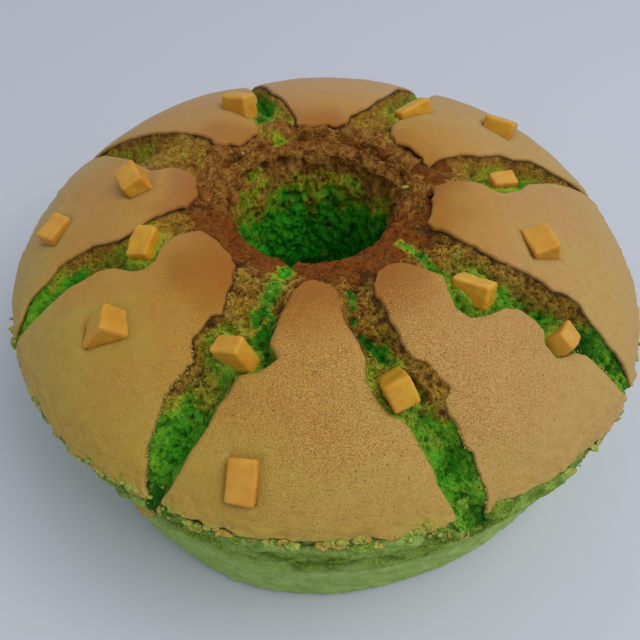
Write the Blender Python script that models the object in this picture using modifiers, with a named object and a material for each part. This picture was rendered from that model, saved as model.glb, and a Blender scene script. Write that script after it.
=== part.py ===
"""Chiffon cake from a tube tin: a domed crust that split into eight petals, with cheese cubes baked in.

The cake is one turned ring whose points are then moved, as dough is, so that the crust gapes along eight
cracks. Bearings are in degrees, seen from above: 0 is the front (-Y), 90 the right-hand side (+X).
"""

import math

import bmesh
import bpy
import numpy as np
from mathutils import Matrix, Vector

MM = 0.001

# The turned body, from the hole's edge over the crown, down the side and back up the hole
RIM_RADIUS = 115 * MM
RIM_HEIGHT = 64.4 * MM
CROWN_RADIUS = 54 * MM
CROWN_HEIGHT = 99.6 * MM
DOME_POWER = 1.3
TIP_RADIUS = 40.8 * MM
TIP_HEIGHT = 98.1 * MM
TIP_STEP = 1.8 * MM
HOLE_TOP_RADIUS = 27.5 * MM
HOLE_TOP_HEIGHT = 92.5 * MM
HOLE_BASE_RADIUS = 32 * MM
HOLE_ROUNDING = 2 * MM
LIP_RADIUS = 112.8 * MM
LIP_HEIGHT = 59.5 * MM
NECK_RADIUS = 109.8 * MM
NECK_HEIGHT = 54 * MM
BASE_RADIUS = 102.4 * MM
BASE_ROUNDING = 4 * MM

# The crust rose unevenly: the hole's edge lies off the middle, and the rim and the foot aren't true circles.
# A wave is how many times it rises in a turn, then its cosine and its sine in millimetres.
HOLE_SHIFT = -6.7 * MM
HOLE_BASE_SHIFT = -1.5 * MM
RIM_WAVES = ((2, 0.0, -0.4), (3, 0.1, 0.8), (4, -0.3, -0.3), (5, 0.3, -0.2))
FOOT_WAVES = ((2, -0.2, 0.8), (3, 0.2, 0.4), (4, 0.5, -0.4), (5, 0.6, -1.2))

# The cracks: the bearing of each, and how wide it gapes in millimetres, at these distances from the middle
STATIONS = np.array((42, 52, 62, 72, 82, 92, 102, 112, 118)) * MM
CRACKS = {
    "front_right": (
        (18.7, 17.7, 17.2, 18.2, 19.9, 21.3, 22.4, 23.2, 23.4),
        (12.1, 10.6, 12.7, 13.4, 19, 12, 12.8, 10, 3),
    ),
    "right": (
        (55, 57, 54.7, 54.6, 60.6, 59.2, 60.7, 61, 61.5),
        (22, 18.1, 23, 26.6, 16, 23.9, 10.7, 9.2, 3),
    ),
    "back_right": (
        (108.3, 108.7, 105.9, 106.6, 108.7, 109.5, 109, 109, 109),
        (12.1, 13.3, 20.3, 21.6, 14.6, 11.2, 7, 4, 2.5),
    ),
    "back": (
        (152.9, 154.8, 153.7, 153.3, 155, 156, 157, 158.5, 159),
        (20.3, 15.9, 15.5, 15.7, 14.3, 13, 10.7, 6, 3),
    ),
    "back_left": (
        (200.4, 201.3, 200.2, 200.5, 200.8, 201, 201.5, 202, 202),
        (14.5, 15.2, 10.5, 6.8, 6.6, 6.4, 5.3, 4, 2.5),
    ),
    "far_left": (
        (244.3, 245, 247.5, 246.1, 245.7, 245, 245.3, 245.8, 246),
        (18.7, 20.9, 24.9, 19.9, 16.2, 11.2, 8, 5, 2.5),
    ),
    "left": (
        (288.8, 293.3, 296.3, 294.7, 291.4, 290.9, 291.8, 292.3, 292.5),
        (12.8, 9.5, 16.8, 13.4, 12.6, 11.6, 9.8, 4.9, 2.5),
    ),
    "front_left": (
        (341.8, 342.3, 342, 341.1, 338, 336, 335.1, 334.9, 335),
        (20.2, 18.6, 17.3, 25, 14.3, 16.1, 12.8, 5.5, 2.5),
    ),
}
CRACK_DEPTH = 12.5 * MM
CRACK_INNER_END = 20 * MM
CRACK_OUTER_END = 116.5 * MM
DEPTH_LEAN = 1.8

# Each petal is puffed up between its cracks, and flat again where it nears the rim
PETAL_PUFF = 1.4 * MM
LIP_DROP = 0.35
PUFF_FADE = 20 * MM

# The cheese cubes: bearing, distance from the middle, sides across and down the slope, rise above the crust,
# turn, and lean down the slope and across it. Lengths are in millimetres and angles in degrees.
CHEESE = (
    (212.5, 58.0, 7.1, 11.5, 5.5, 28, -12, 4),
    (145.1, 63.9, 6.0, 14.0, 3.1, -20, 12, -25),
    (127.6, 86.7, 11.4, 12.2, 5.0, 24, -1, -11),
    (101.6, 67.5, 6.0, 9.7, 1.5, 11, 7, 10),
    (76.8, 76.7, 9.0, 11.7, 4.2, -62, 30, 7),
    (56.5, 93.0, 10.8, 7.4, 1.6, -10, -4, -20),
    (51.0, 65.3, 7.7, 12.4, 1.5, 7, 27, -22),
    (17.2, 81.3, 8.4, 9.0, 5.6, 16, -28, 4),
    (342.4, 72.9, 9.3, 6.0, 5.8, -2, 9, 22),
    (348.5, 103.3, 8.5, 13.0, 3.0, 5, 0, 0),
    (311.9, 85.9, 9.7, 12.8, 4.7, -28, -23, 25),
    (296.6, 61.4, 11.4, 7.9, 2.4, -42, -9, -1),
    (268.8, 62.5, 8.3, 10.5, 7.0, -64, -15, -15),
    (276.5, 94.4, 10.7, 7.2, 4.5, -34, 20, -6),
)
CHEESE_ROOT = 6.5 * MM
CHEESE_ROUNDING = 1.3 * MM
CHEESE_UNEVENNESS = 0.07
POCKET_GAP = 0.35 * MM
# A cube kept the crumb around it from sinking, by this share, out to about this distance
CHEESE_HOLD_SHARE = 0.5
CHEESE_HOLD = 9 * MM

# Crumb relief: the size of a lump, and how high the lumps stand in each place
LUMP = 9 * MM
LUMP_SEED = 3
RING_RELIEF = 0.8 * MM
CRACK_RELIEF = 0.7 * MM
LIP_RELIEF = 0.9 * MM
SIDE_RELIEF = 0.4 * MM
RELIEF_FADE = 6 * MM
TORN_BAND = 3 * MM

# Columns of points around the cake: across each crack, as shares of its gape and its depth, and each petal
CRACK_PROFILE = ((0.0, 0.0), (0.2, 0.85), (0.5, 1.0), (0.8, 0.85))
PETAL_STRIPS = 7
COLUMNS = len(CRACKS) * (len(CRACK_PROFILE) + PETAL_STRIPS)


def clear_scene():
    for item in list(bpy.data.objects):
        bpy.data.objects.remove(item, do_unlink=True)


def new_collection(name, shown=True):
    made = bpy.data.collections.new(name)
    made.hide_render = not shown
    bpy.context.scene.collection.children.link(made)
    return made


def new_material(name, colour, roughness):
    made = bpy.data.materials.new(name)
    made.use_nodes = True
    shader = made.node_tree.nodes["Principled BSDF"]
    shader.inputs["Base Color"].default_value = (*colour, 1)
    shader.inputs["Roughness"].default_value = roughness
    shader.inputs["Metallic"].default_value = 0
    made.diffuse_color = (*colour, 1)
    return made


def through(at, known, values):
    """A smooth curve through the known values, in cubic pieces that share their slopes where they meet."""
    slopes = np.gradient(values, known)
    piece = np.clip(np.searchsorted(known, at) - 1, 0, len(known) - 2)
    span = known[piece + 1] - known[piece]
    share = np.clip((at - known[piece]) / span, 0, 1)
    climb = 3 * share**2 - 2 * share**3
    start = (share**3 - 2 * share**2 + share) * span * slopes[piece]
    end = (share**3 - share**2) * span * slopes[piece + 1]
    return values[piece] * (1 - climb) + values[piece + 1] * climb + start + end


def wander(bearing, waves):
    """How far, in metres, an edge lies outside a true circle at these bearings."""
    return MM * sum(c * np.cos(n * bearing) + s * np.sin(n * bearing) for n, c, s in waves)


def lumps(points, size, seed, terms=14):
    """A lumpy height between about -1 and 1: sine waves as long as a lump, in random directions."""
    draw = np.random.default_rng(seed)
    ways = draw.normal(size=(terms, 3))
    ways *= 2 * np.pi / size / np.linalg.norm(ways, axis=1)[:, None]
    ways *= draw.uniform(0.7, 1.4, (terms, 1))
    starts = draw.uniform(0, 2 * np.pi, terms)
    return np.sin(points @ ways.T + starts).sum(axis=-1) / math.sqrt(terms)


def straight(start, end, steps):
    """Points on a straight line from start towards end, without the end."""
    return [tuple(a + (b - a) * step / steps for a, b in zip(start, end)) for step in range(steps)]


def dome(turn):
    """Radius and height of the crust: turn is 0 at the crown and a quarter circle at the rim."""
    outward = max(math.sin(turn), 0) ** DOME_POWER
    upward = max(math.cos(turn), 0) ** DOME_POWER
    radius = CROWN_RADIUS + (RIM_RADIUS - CROWN_RADIUS) * outward
    return radius, RIM_HEIGHT + (CROWN_HEIGHT - RIM_HEIGHT) * upward


def crown(steps):
    """From the petals' tips, which curl down towards the ring, up to the crown."""
    shares = [math.sin(math.pi / 2 * step / steps) for step in range(steps)]
    return [
        (
            TIP_RADIUS + (CROWN_RADIUS - TIP_RADIUS) * share,
            CROWN_HEIGHT - (CROWN_HEIGHT - TIP_HEIGHT) * (1 - share) ** 2,
        )
        for share in shares
    ]


def body_profile():
    """Radius and height from the hole's edge over the crown, down the side and back up through the hole."""
    ring_edge = (TIP_RADIUS - MM, TIP_HEIGHT - TIP_STEP)
    funnel = straight((HOLE_TOP_RADIUS, HOLE_TOP_HEIGHT), ring_edge, 3) + [ring_edge]
    dome_steps = 19
    crust = [dome(math.pi / 2 * step / dome_steps) for step in range(dome_steps + 1)]
    lip = [(RIM_RADIUS - 0.5 * MM, (RIM_HEIGHT + LIP_HEIGHT) / 2), (LIP_RADIUS, LIP_HEIGHT)]
    side = straight((NECK_RADIUS, NECK_HEIGHT), (BASE_RADIUS, BASE_ROUNDING), 7)
    foot = [
        (BASE_RADIUS, BASE_ROUNDING),
        (BASE_RADIUS - 0.3 * BASE_ROUNDING, 0.3 * BASE_ROUNDING),
        (BASE_RADIUS - BASE_ROUNDING, 0),
    ]
    under = [((BASE_RADIUS + HOLE_BASE_RADIUS) / 2, 0), (HOLE_BASE_RADIUS + HOLE_ROUNDING, 0)]
    hole_top = (HOLE_TOP_RADIUS, HOLE_TOP_HEIGHT - HOLE_ROUNDING)
    hole = straight((HOLE_BASE_RADIUS, HOLE_ROUNDING), hole_top, 10)
    return np.array(funnel + crown(4) + crust + lip + side + foot + under + hole)


def outward_normals(profile):
    """The unit normals of the closed profile, pointing out of the cake."""
    along = np.roll(profile, -1, axis=0) - np.roll(profile, 1, axis=0)
    normals = np.stack([-along[:, 1], along[:, 0]], axis=1)
    return normals / np.linalg.norm(normals, axis=1)[:, None]


def turned_ring(profile):
    """The profile as a closed loop at +X, turned once round Z by a Screw, and read back as a mesh."""
    count = len(profile)
    mesh = bpy.data.meshes.new("turned_ring")
    mesh.from_pydata([(r, 0, z) for r, z in profile], [(i, (i + 1) % count) for i in range(count)], [])
    ring = bpy.data.objects.new("turned_ring", mesh)
    bpy.context.scene.collection.objects.link(ring)
    screw = ring.modifiers.new("turn", "SCREW")
    screw.axis = "Z"
    screw.steps = screw.render_steps = COLUMNS
    screw.use_merge_vertices = True
    screw.merge_threshold = 0.01 * MM
    graph = bpy.context.evaluated_depsgraph_get()
    turned = bpy.data.meshes.new_from_object(ring.evaluated_get(graph))
    bpy.data.objects.remove(ring)
    return turned


def crack_lips(radius):
    """The bearings in radians of each crack's two lips at these radii, with one line for each crack."""
    middles = [through(radius, STATIONS, np.radians(run)) for run, _ in CRACKS.values()]
    gapes = [through(radius, STATIONS, np.array(gape) * MM) for _, gape in CRACKS.values()]
    half = np.array(gapes) / radius / 2
    return np.array(middles) - half, np.array(middles) + half


def columns_at(radius):
    """Each column's bearing at these radii, its share of a crack's depth, and its share across a petal."""
    low, high = crack_lips(np.clip(radius, STATIONS[0], STATIONS[-1]))
    next_low = np.roll(low, -1, axis=0)
    next_low[-1] += 2 * np.pi
    bearings, depths, across = [], [], []
    for crack in range(len(CRACKS)):
        for share, depth in CRACK_PROFILE:
            bearings.append(low[crack] + (high[crack] - low[crack]) * share)
            depths.append(depth)
            across.append(0)
        for strip in range(PETAL_STRIPS):
            share = strip / PETAL_STRIPS
            bearings.append(high[crack] + (next_low[crack] - high[crack]) * share)
            depths.append(0)
            across.append(share)
    return np.array(bearings).T, np.array(depths), np.array(across)


def crack_depth(radius, bearing):
    """Shallow at the hole, deepest towards the rim, closed at the rim itself, and held up by the cheese."""
    run = np.clip((radius - CRACK_INNER_END) / (CRACK_OUTER_END - CRACK_INNER_END), 0, 1)
    held = np.zeros(bearing.shape)
    for where, far, *_ in CHEESE:
        turn = bearing - math.radians(where)
        squared = radius**2 + (far * MM) ** 2 - 2 * radius * far * MM * np.cos(turn)
        held = np.maximum(held, np.exp(-squared / CHEESE_HOLD**2))
    return CRACK_DEPTH * np.sin(np.pi * run**DEPTH_LEAN) * (1 - CHEESE_HOLD_SHARE * held)


def petal_puff(radius, across):
    """How far a petal's skin stands above the plain dome: high in its middle, a little low at its lips."""
    inner = np.clip((radius - HOLE_TOP_RADIUS) / (CROWN_RADIUS - HOLE_TOP_RADIUS), 0, 1)
    outer = np.clip((CRACK_OUTER_END - radius) / PUFF_FADE, 0, 1)
    return PETAL_PUFF * inner * outer * np.where(across > 0, np.sin(np.pi * across) ** 0.7 - LIP_DROP, 0)


def relief_height(points, profile, depth_share):
    """How high the lumps stand on the ring, in the cracks, up the hole, at the torn lip and down the side."""
    radius, height = profile.T
    outside = radius > CROWN_RADIUS
    above = height > RIM_HEIGHT
    ring = RING_RELIEF * np.clip((TIP_RADIUS + RELIEF_FADE - radius) / RELIEF_FADE, 0, 1) * above
    hole = RING_RELIEF * (~outside & (height > 0) & (height < HOLE_TOP_HEIGHT))
    lip = LIP_RELIEF * np.exp(-(((height - LIP_HEIGHT) / TORN_BAND) ** 2)) * outside
    side = SIDE_RELIEF * (outside & (height > BASE_ROUNDING) & (height < NECK_HEIGHT))
    crack = CRACK_RELIEF * depth_share * above[:, None]
    everywhere = np.maximum.reduce([ring, hole, lip, side])[:, None]
    return lumps(points, LUMP, LUMP_SEED) * np.maximum(everywhere, crack)


def sculpted(profile):
    """Every point of the cake, as rows along the profile and columns around it, after the crust has split."""
    radius, height = profile.T
    normal = outward_normals(profile)
    top = np.arange(len(profile)) < np.argmin(np.hypot(radius - LIP_RADIUS, height - LIP_HEIGHT))
    inside = ~top & (radius < CROWN_RADIUS)
    bearing, depth_share, across = columns_at(np.where(top, radius, STATIONS[-1]))
    bearing[inside] = columns_at(np.full(inside.sum(), STATIONS[0]))[0]

    rows = radius[:, None]
    lift = petal_puff(rows, across) - crack_depth(rows, bearing) * depth_share
    lift = np.where(top[:, None], lift, 0)
    outer = np.clip((rows - TIP_RADIUS) / (RIM_RADIUS - TIP_RADIUS), 0, 1)
    upper = np.clip(height / LIP_HEIGHT, 0, 1)[:, None]
    uneven = wander(bearing, RIM_WAVES) * upper + wander(bearing, FOOT_WAVES) * (1 - upper)
    top_shift = HOLE_SHIFT * np.clip((RIM_RADIUS - radius) / (RIM_RADIUS - TIP_RADIUS), 0, 1)
    hole_shift = HOLE_BASE_SHIFT + (HOLE_SHIFT - HOLE_BASE_SHIFT) * height / HOLE_TOP_HEIGHT
    shift = np.where(top, top_shift, np.where(inside, hole_shift, 0))[:, None]

    def placed(lift):
        far = rows + outer * uneven + normal[:, :1] * lift
        level = height[:, None] + normal[:, 1:] * lift
        return np.stack([far * np.sin(bearing) + shift, -far * np.cos(bearing), level], axis=2)

    return placed(lift + relief_height(placed(lift), profile, depth_share))


def to_the_middle(points):
    """What to add to stand the cake with the middle of its box over the origin."""
    flat = points.reshape(-1, 3)
    middle = (flat.min(axis=0) + flat.max(axis=0)) / 2
    return np.array([-middle[0], -middle[1], 0])


def moved_ring(profile, points):
    """The turned mesh, with each point moved to its sculpted place."""
    mesh = turned_ring(profile)
    found = np.empty(len(mesh.vertices) * 3, np.float32)
    mesh.vertices.foreach_get("co", found)
    x, y, z = found.reshape(-1, 3).astype(float).T
    flat = np.stack([np.hypot(x, y), z], axis=1)
    row = np.linalg.norm(flat[:, None] - profile[None], axis=2).argmin(axis=1)
    column = np.round(np.arctan2(y, x) * COLUMNS / (2 * np.pi)).astype(int) % COLUMNS
    mesh.vertices.foreach_set("co", points[row, column].astype(np.float32).ravel())
    mesh.update()
    return mesh


def crust_frame(bearing, radius, offset):
    """A place on the crust with its axes: X across the slope, Y down the slope, and Z out of the crust."""
    line = np.array([dome(turn) for turn in np.linspace(0, math.pi / 2, 200)])
    at = np.abs(line[1:-1, 0] - radius).argmin() + 1
    run, fall = line[at + 1] - line[at - 1]
    out = Vector((math.sin(bearing), -math.cos(bearing), 0))
    across = Vector((-math.cos(bearing), -math.sin(bearing), 0))
    slope = (out * run + Vector((0, 0, fall))).normalized()
    frame = Matrix.Identity(4)
    for index, axis in enumerate((across, slope, across.cross(slope))):
        frame.col[index][:3] = axis
    shift = HOLE_SHIFT * (RIM_RADIUS - radius) / (RIM_RADIUS - TIP_RADIUS)
    frame.translation = out * radius + Vector((shift, 0, line[at, 1])) + Vector(offset)
    return frame


def cheese_cube(name, sides, seed, finish, home, grown=0):
    """An uneven cube with rounded edges, grown by the gap where it cuts the cube's own pocket."""
    shape = bmesh.new()
    bmesh.ops.create_cube(shape, size=1)
    draw = np.random.default_rng(seed)
    for corner in shape.verts:
        uneven = draw.uniform(1 - CHEESE_UNEVENNESS, 1 + CHEESE_UNEVENNESS, 3)
        corner.co = [math.copysign(s * u / 2 + grown, c) for s, u, c in zip(sides, uneven, corner.co)]
    mesh = bpy.data.meshes.new(name)
    shape.to_mesh(mesh)
    shape.free()
    mesh.materials.append(finish)
    cube = bpy.data.objects.new(name, mesh)
    home.objects.link(cube)
    bevel = cube.modifiers.new("rounded", "BEVEL")
    bevel.width = CHEESE_ROUNDING
    bevel.segments = 2
    return cube


def place_cheese(offset, finish, parts, cutters):
    """Each cube sunk in the crust, and a slightly larger one that cuts its pocket."""
    for number, (bearing, radius, wide, long, rise, *turns) in enumerate(CHEESE, start=1):
        sides = np.array([wide, long, rise]) * MM + (0, 0, CHEESE_ROOT)
        sink = Matrix.Translation((0, 0, sides[2] / 2 - CHEESE_ROOT))
        turn, down, across = (math.radians(angle) for angle in turns)
        lean = Matrix.Rotation(down, 4, "X") @ Matrix.Rotation(across, 4, "Y")
        spin = Matrix.Rotation(turn, 4, "Z")
        place = crust_frame(math.radians(bearing), radius * MM, offset) @ sink @ lean @ spin
        cube = cheese_cube(f"cheese_{number:02d}", sides, number, finish, parts)
        pocket = cheese_cube(f"pocket_{number:02d}", sides, number, finish, cutters, POCKET_GAP)
        pocket.hide_render = True
        pocket.display_type = "WIRE"
        cube.matrix_world = pocket.matrix_world = place


def main():
    clear_scene()
    parts = new_collection("chiffon_cake")
    cutters = new_collection("cutters", shown=False)
    crust = new_material("crust", (0.46, 0.30, 0.13), 0.75)
    cheese = new_material("cheese", (0.62, 0.32, 0.08), 0.45)

    profile = body_profile()
    points = sculpted(profile)
    offset = to_the_middle(points)
    mesh = moved_ring(profile, points + offset)
    mesh.name = "cake"
    mesh.materials.append(crust)
    mesh.shade_smooth()
    cake = bpy.data.objects.new("cake", mesh)
    parts.objects.link(cake)
    place_cheese(offset, cheese, parts, cutters)

    pockets = cake.modifiers.new("pockets", "BOOLEAN")
    pockets.operation = "DIFFERENCE"
    pockets.operand_type = "COLLECTION"
    pockets.collection = cutters
    pockets.solver = "EXACT"


main()
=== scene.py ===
# %% [markdown]
# # A chiffon cake from a tube tin
# This lesson builds the looks of a green chiffon cake around its CAD part. The cake rose above its tin, and
# the browned crust split along eight cracks, so the crust is eight petals over a green crumb. We make each
# petal, crack, wall and cheese cube as a surface of numbers, and then give each its finish.

# %% Load the frame
import math
import types

import bpy
import numpy as np
from mathutils import Matrix, Vector


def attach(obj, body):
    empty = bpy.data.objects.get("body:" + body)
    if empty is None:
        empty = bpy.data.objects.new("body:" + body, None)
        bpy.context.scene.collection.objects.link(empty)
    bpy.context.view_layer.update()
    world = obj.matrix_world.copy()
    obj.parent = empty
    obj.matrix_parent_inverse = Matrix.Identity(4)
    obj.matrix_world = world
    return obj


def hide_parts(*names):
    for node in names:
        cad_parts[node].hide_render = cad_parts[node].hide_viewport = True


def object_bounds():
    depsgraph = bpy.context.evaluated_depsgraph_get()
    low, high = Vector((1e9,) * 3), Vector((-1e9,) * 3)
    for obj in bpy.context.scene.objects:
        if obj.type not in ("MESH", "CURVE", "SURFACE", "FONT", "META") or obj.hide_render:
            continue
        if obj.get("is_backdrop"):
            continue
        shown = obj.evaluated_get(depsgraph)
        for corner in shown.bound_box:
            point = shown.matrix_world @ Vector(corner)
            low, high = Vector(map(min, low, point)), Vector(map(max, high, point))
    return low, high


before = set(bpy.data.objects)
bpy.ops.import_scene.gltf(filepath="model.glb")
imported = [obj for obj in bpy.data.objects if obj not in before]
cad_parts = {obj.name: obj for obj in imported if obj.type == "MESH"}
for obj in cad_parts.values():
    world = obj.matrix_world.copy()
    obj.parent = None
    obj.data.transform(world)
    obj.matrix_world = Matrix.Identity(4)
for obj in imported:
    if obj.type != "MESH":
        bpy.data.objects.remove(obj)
cad_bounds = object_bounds()
MM = 0.001
print("CAD box in metres:", [tuple(round(c, 4) for c in corner) for corner in cad_bounds])

# %% [markdown]
# ## The plain shape
# These sizes are the ones of the CAD part: the dome of the crust, the tips of the petals round the hole,
# the torn rim and the side of the tin. The hole lies off the middle, since the crust rose unevenly. In
# front the thin crust tore off a little above the rim, so its end is given by bearing, in millimetres past
# the widest line.

# %% Sizes of the plain cake
RIM_RADIUS, RIM_HEIGHT = 115 * MM, 64.4 * MM
CROWN_RADIUS, CROWN_HEIGHT = 54 * MM, 99.6 * MM
DOME_POWER = 1.3
TIP_RADIUS, TIP_HEIGHT = 40.8 * MM, 98.1 * MM
HOLE_TOP_RADIUS, HOLE_TOP_HEIGHT = 27.5 * MM, 92.5 * MM
LIP_RADIUS, LIP_HEIGHT = 112.8 * MM, 59.5 * MM
NECK_RADIUS, NECK_HEIGHT = 109.8 * MM, 54 * MM
BASE_RADIUS, BASE_ROUNDING = 102.4 * MM, 4 * MM
HOLE_SHIFT, HOLE_BASE_SHIFT = -6.7 * MM, -1.5 * MM
RIM_WAVES = ((2, 0.0, -0.4), (3, 0.1, 0.8), (4, -0.3, -0.3), (5, 0.3, -0.2))
FOOT_WAVES = ((2, -0.2, 0.8), (3, 0.2, 0.4), (4, 0.5, -0.4), (5, 0.6, -1.2))
MIDDLE = np.array([0.959, 0.287, 0.0]) * MM
CRUST_ENDS = (
    "-180 1.5 -75 1.5 -60 0 -50 -1.2 -38 -1.5 -32 -3.2 -27 -5.2 -24.5 -3 -18 -2.6 -10 -4 -8 -2.3 -3 -2.8"
    " 2 -4.2 5 -5 16 -4.6 18.5 -1.2 21 0.4 22.5 0 24.5 -2.5 26 -4.2 30 -4.8 36 -2.5 42 -1.2 50 -0.6"
    " 60 0.5 75 1.5 180 1.5"
)
print("the cake is", 2 * RIM_RADIUS / MM, "mm across")

# %% [markdown]
# ## Lumps, pits and grains
# Baked crumb is rough at every size. Two kinds of noise make that: smooth lumps, from random heights on a
# lattice that are blended between, and grains, from the distance to the nearest of many scattered dots. A
# bell and a smooth step fade one thing into another.

# %% Noise for the relief


def lumps(points, size, seed):
    """Smooth noise from -1 to 1: random heights on a lattice of this spacing, blended between corners."""
    count = 32
    table = np.random.default_rng(seed).uniform(-1, 1, (count, count, count))
    at = points / size
    cell = np.floor(at).astype(int)
    share = at - cell
    share = share * share * (3 - 2 * share)
    total = np.zeros(points.shape[:-1])
    for dx, dy, dz in np.ndindex(2, 2, 2):
        corner = (cell + (dx, dy, dz)) % count
        weight = np.prod(np.where((dx, dy, dz), share, 1 - share), axis=-1)
        total += weight * table[corner[..., 0], corner[..., 1], corner[..., 2]]
    return total * 1.6


def rough(points, size, seed, levels=3, keep=0.5):
    """Lumps on lumps: each level is half as large as the last, and stands this share as high."""
    return sum(keep**level * lumps(points, size / 2**level, seed + level) for level in range(levels))


def grains(points, size, seed):
    """Distance to the nearest scattered dot, as a share of the spacing: 0 on a dot, about 1 between dots."""
    count = 24
    dots = np.random.default_rng(seed).uniform(0, 1, (count, count, count, 3))
    at = points / size
    cell = np.floor(at).astype(int)
    nearest = np.full(points.shape[:-1], 9.0)
    for step in np.ndindex(3, 3, 3):
        near = cell + np.array(step) - 1
        index = near % count
        dot = near + dots[index[..., 0], index[..., 1], index[..., 2]]
        nearest = np.minimum(nearest, ((dot - at) ** 2).sum(axis=-1))
    return np.sqrt(nearest)


def bell(value, width, power=2):
    """1 at 0, falling away on both sides: exp(-(value / width)^power)."""
    return np.exp(-((value / width) ** power))


def creases(points, size, seed, width):
    """1 on thin winding lines and 0 away from them: a bell of the lumps, which is 1 where they cross 0."""
    return bell(lumps(points, size, seed), width)


def smooth_step(value, low, high):
    """0 below low, 1 above high, and an even S-curve between them."""
    share = np.clip((value - low) / (high - low), 0, 1)
    return share * share * (3 - 2 * share)


print("lumps at one place:", lumps(np.zeros((1, 3)), 1.0, 1), "grains:", grains(np.zeros((1, 3)), 1.0, 1))

# %% [markdown]
# ## From a line to the cake
# A place on the crust is named by how far along the outer line it lies, from the tip of a petal over the
# dome to the rim and down the side, by its bearing (0 at the front, 90 at the right), and by how far it
# stands off the line.

# %% The outer line and the places on it


def outer_line():
    """Radius and height every quarter millimetre from inside the ring, over the dome and down to the foot."""
    inner = np.linspace(34 * MM, CROWN_RADIUS, 60, endpoint=False)
    curl = (CROWN_RADIUS - inner) / (CROWN_RADIUS - TIP_RADIUS)
    tip = np.stack([inner, CROWN_HEIGHT - (CROWN_HEIGHT - TIP_HEIGHT) * curl**2], axis=1)
    turn = np.linspace(0, np.pi / 2, 400)
    wide = np.sin(turn) ** DOME_POWER
    high = np.clip(np.cos(turn), 0, 1) ** DOME_POWER
    radius = CROWN_RADIUS + (RIM_RADIUS - CROWN_RADIUS) * wide
    height = RIM_HEIGHT + (CROWN_HEIGHT - RIM_HEIGHT) * high
    below = [
        (RIM_RADIUS - 0.5 * MM, (RIM_HEIGHT + LIP_HEIGHT) / 2),
        (LIP_RADIUS, LIP_HEIGHT),
        (NECK_RADIUS, NECK_HEIGHT),
        (BASE_RADIUS, BASE_ROUNDING),
    ]
    corners = np.concatenate([tip, np.stack([radius, height], axis=1), below])
    run = np.concatenate([[0], np.cumsum(np.linalg.norm(np.diff(corners, axis=0), axis=1))])
    even = np.arange(0, run[-1], 0.25 * MM)
    line = np.stack([np.interp(even, run, corners[:, i]) for i in range(2)], axis=1)
    box = np.ones(9) / 9
    for i in range(2):
        line[4:-4, i] = np.convolve(line[:, i], box, "valid")
    return even, line


RUN, LINE = outer_line()
SLOPE = np.gradient(LINE, RUN, axis=0)
SLOPE /= np.linalg.norm(SLOPE, axis=1)[:, None]
RIM_RUN = RUN[LINE[:, 0].argmax()]
STATION = np.where(RUN < RIM_RUN, LINE[:, 0], RIM_RADIUS + 0.6 * (RUN - RIM_RUN))


def radius_at(run):
    """The line's radius this far along it."""
    return np.interp(run, RUN, LINE[:, 0])


def run_at(radius):
    """How far along the line the dome reaches this radius."""
    top = RUN < RIM_RUN
    return np.interp(radius, LINE[top, 0], RUN[top])


def wander(bearing, waves):
    """How far an edge lies outside a true circle at these bearings: a sum of cosines and sines."""
    return MM * sum(c * np.cos(n * bearing) + s * np.sin(n * bearing) for n, c, s in waves)


def stand(radius, height, bearing, top):
    """Points of the cake at these radii, heights and bearings, pushed off a true circle as the cake is."""
    outer = np.clip((radius - TIP_RADIUS) / (RIM_RADIUS - TIP_RADIUS), 0, 1)
    upper = np.clip(height / LIP_HEIGHT, 0, 1)
    far = radius + outer * (wander(bearing, RIM_WAVES) * upper + wander(bearing, FOOT_WAVES) * (1 - upper))
    inward = np.clip((RIM_RADIUS - radius) / (RIM_RADIUS - TIP_RADIUS), 0, 1)
    shift = HOLE_SHIFT * inward * top
    return np.stack([far * np.sin(bearing) + shift, -far * np.cos(bearing), height], axis=-1) + MIDDLE


def on_crust(run, bearing, lift):
    """Points this far along the line, at these bearings, lifted off the line along its normal."""
    radius, height = (np.interp(run, RUN, LINE[:, i]) for i in range(2))
    along, climb = (np.interp(run, RUN, SLOPE[:, i]) for i in range(2))
    return stand(radius - climb * lift, height + along * lift, bearing, run < RIM_RUN)


def pairs(text):
    """The two columns of a list of pairs."""
    return np.array(text.split(), float).reshape(-1, 2).T


def torn_end(bearing):
    """How far along the line the crust ends: its known ends by bearing, with finer tears added."""
    known, past = pairs(CRUST_ENDS)
    turn = (np.degrees(bearing) + 180) % 360 - 180
    way = RIM_RADIUS * np.stack([np.sin(bearing), np.cos(bearing), 0 * bearing], axis=-1)
    return RIM_RUN + MM * (np.interp(turn, known, past) + 0.7 * rough(way, 13 * MM, 12, 5, 0.8))


print("the line is", round(RUN[-1] / MM), "mm long, and reaches the rim at", round(RIM_RUN / MM), "mm")

# %% [markdown]
# ## Closed meshes from whole arrays
# A pillow is two sheets of points that share their border, so that it is closed. A loop is a closed outline
# that is carried round the cake, so that it closes both ways. Faces are lists of four corners, made from
# the grid's numbers. A mark is a number at each point, such as how brown it is, which the finish reads.

# %% Meshes


def pillow(upper, lower, **marks):
    """Two grids as one closed skin, joined along the lower one's border: its points, faces and marks."""
    rows, columns = upper.shape[:2]
    number = np.arange(rows * columns).reshape(rows, columns)
    inner = np.zeros((rows, columns), bool)
    inner[1:-1, 1:-1] = True
    back = number.copy()
    back[inner] = rows * columns + np.arange(inner.sum())

    def quads(grid):
        return np.stack([grid[:-1, :-1], grid[:-1, 1:], grid[1:, 1:], grid[1:, :-1]], axis=-1).reshape(-1, 4)

    upper = np.where(inner[..., None], upper, lower)
    points = np.concatenate([upper.reshape(-1, 3), lower[inner]])
    marks = {name: np.concatenate([value.ravel(), value[inner]]) for name, value in marks.items()}
    return points, np.concatenate([quads(number), quads(back)[:, ::-1]]), marks


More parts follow.
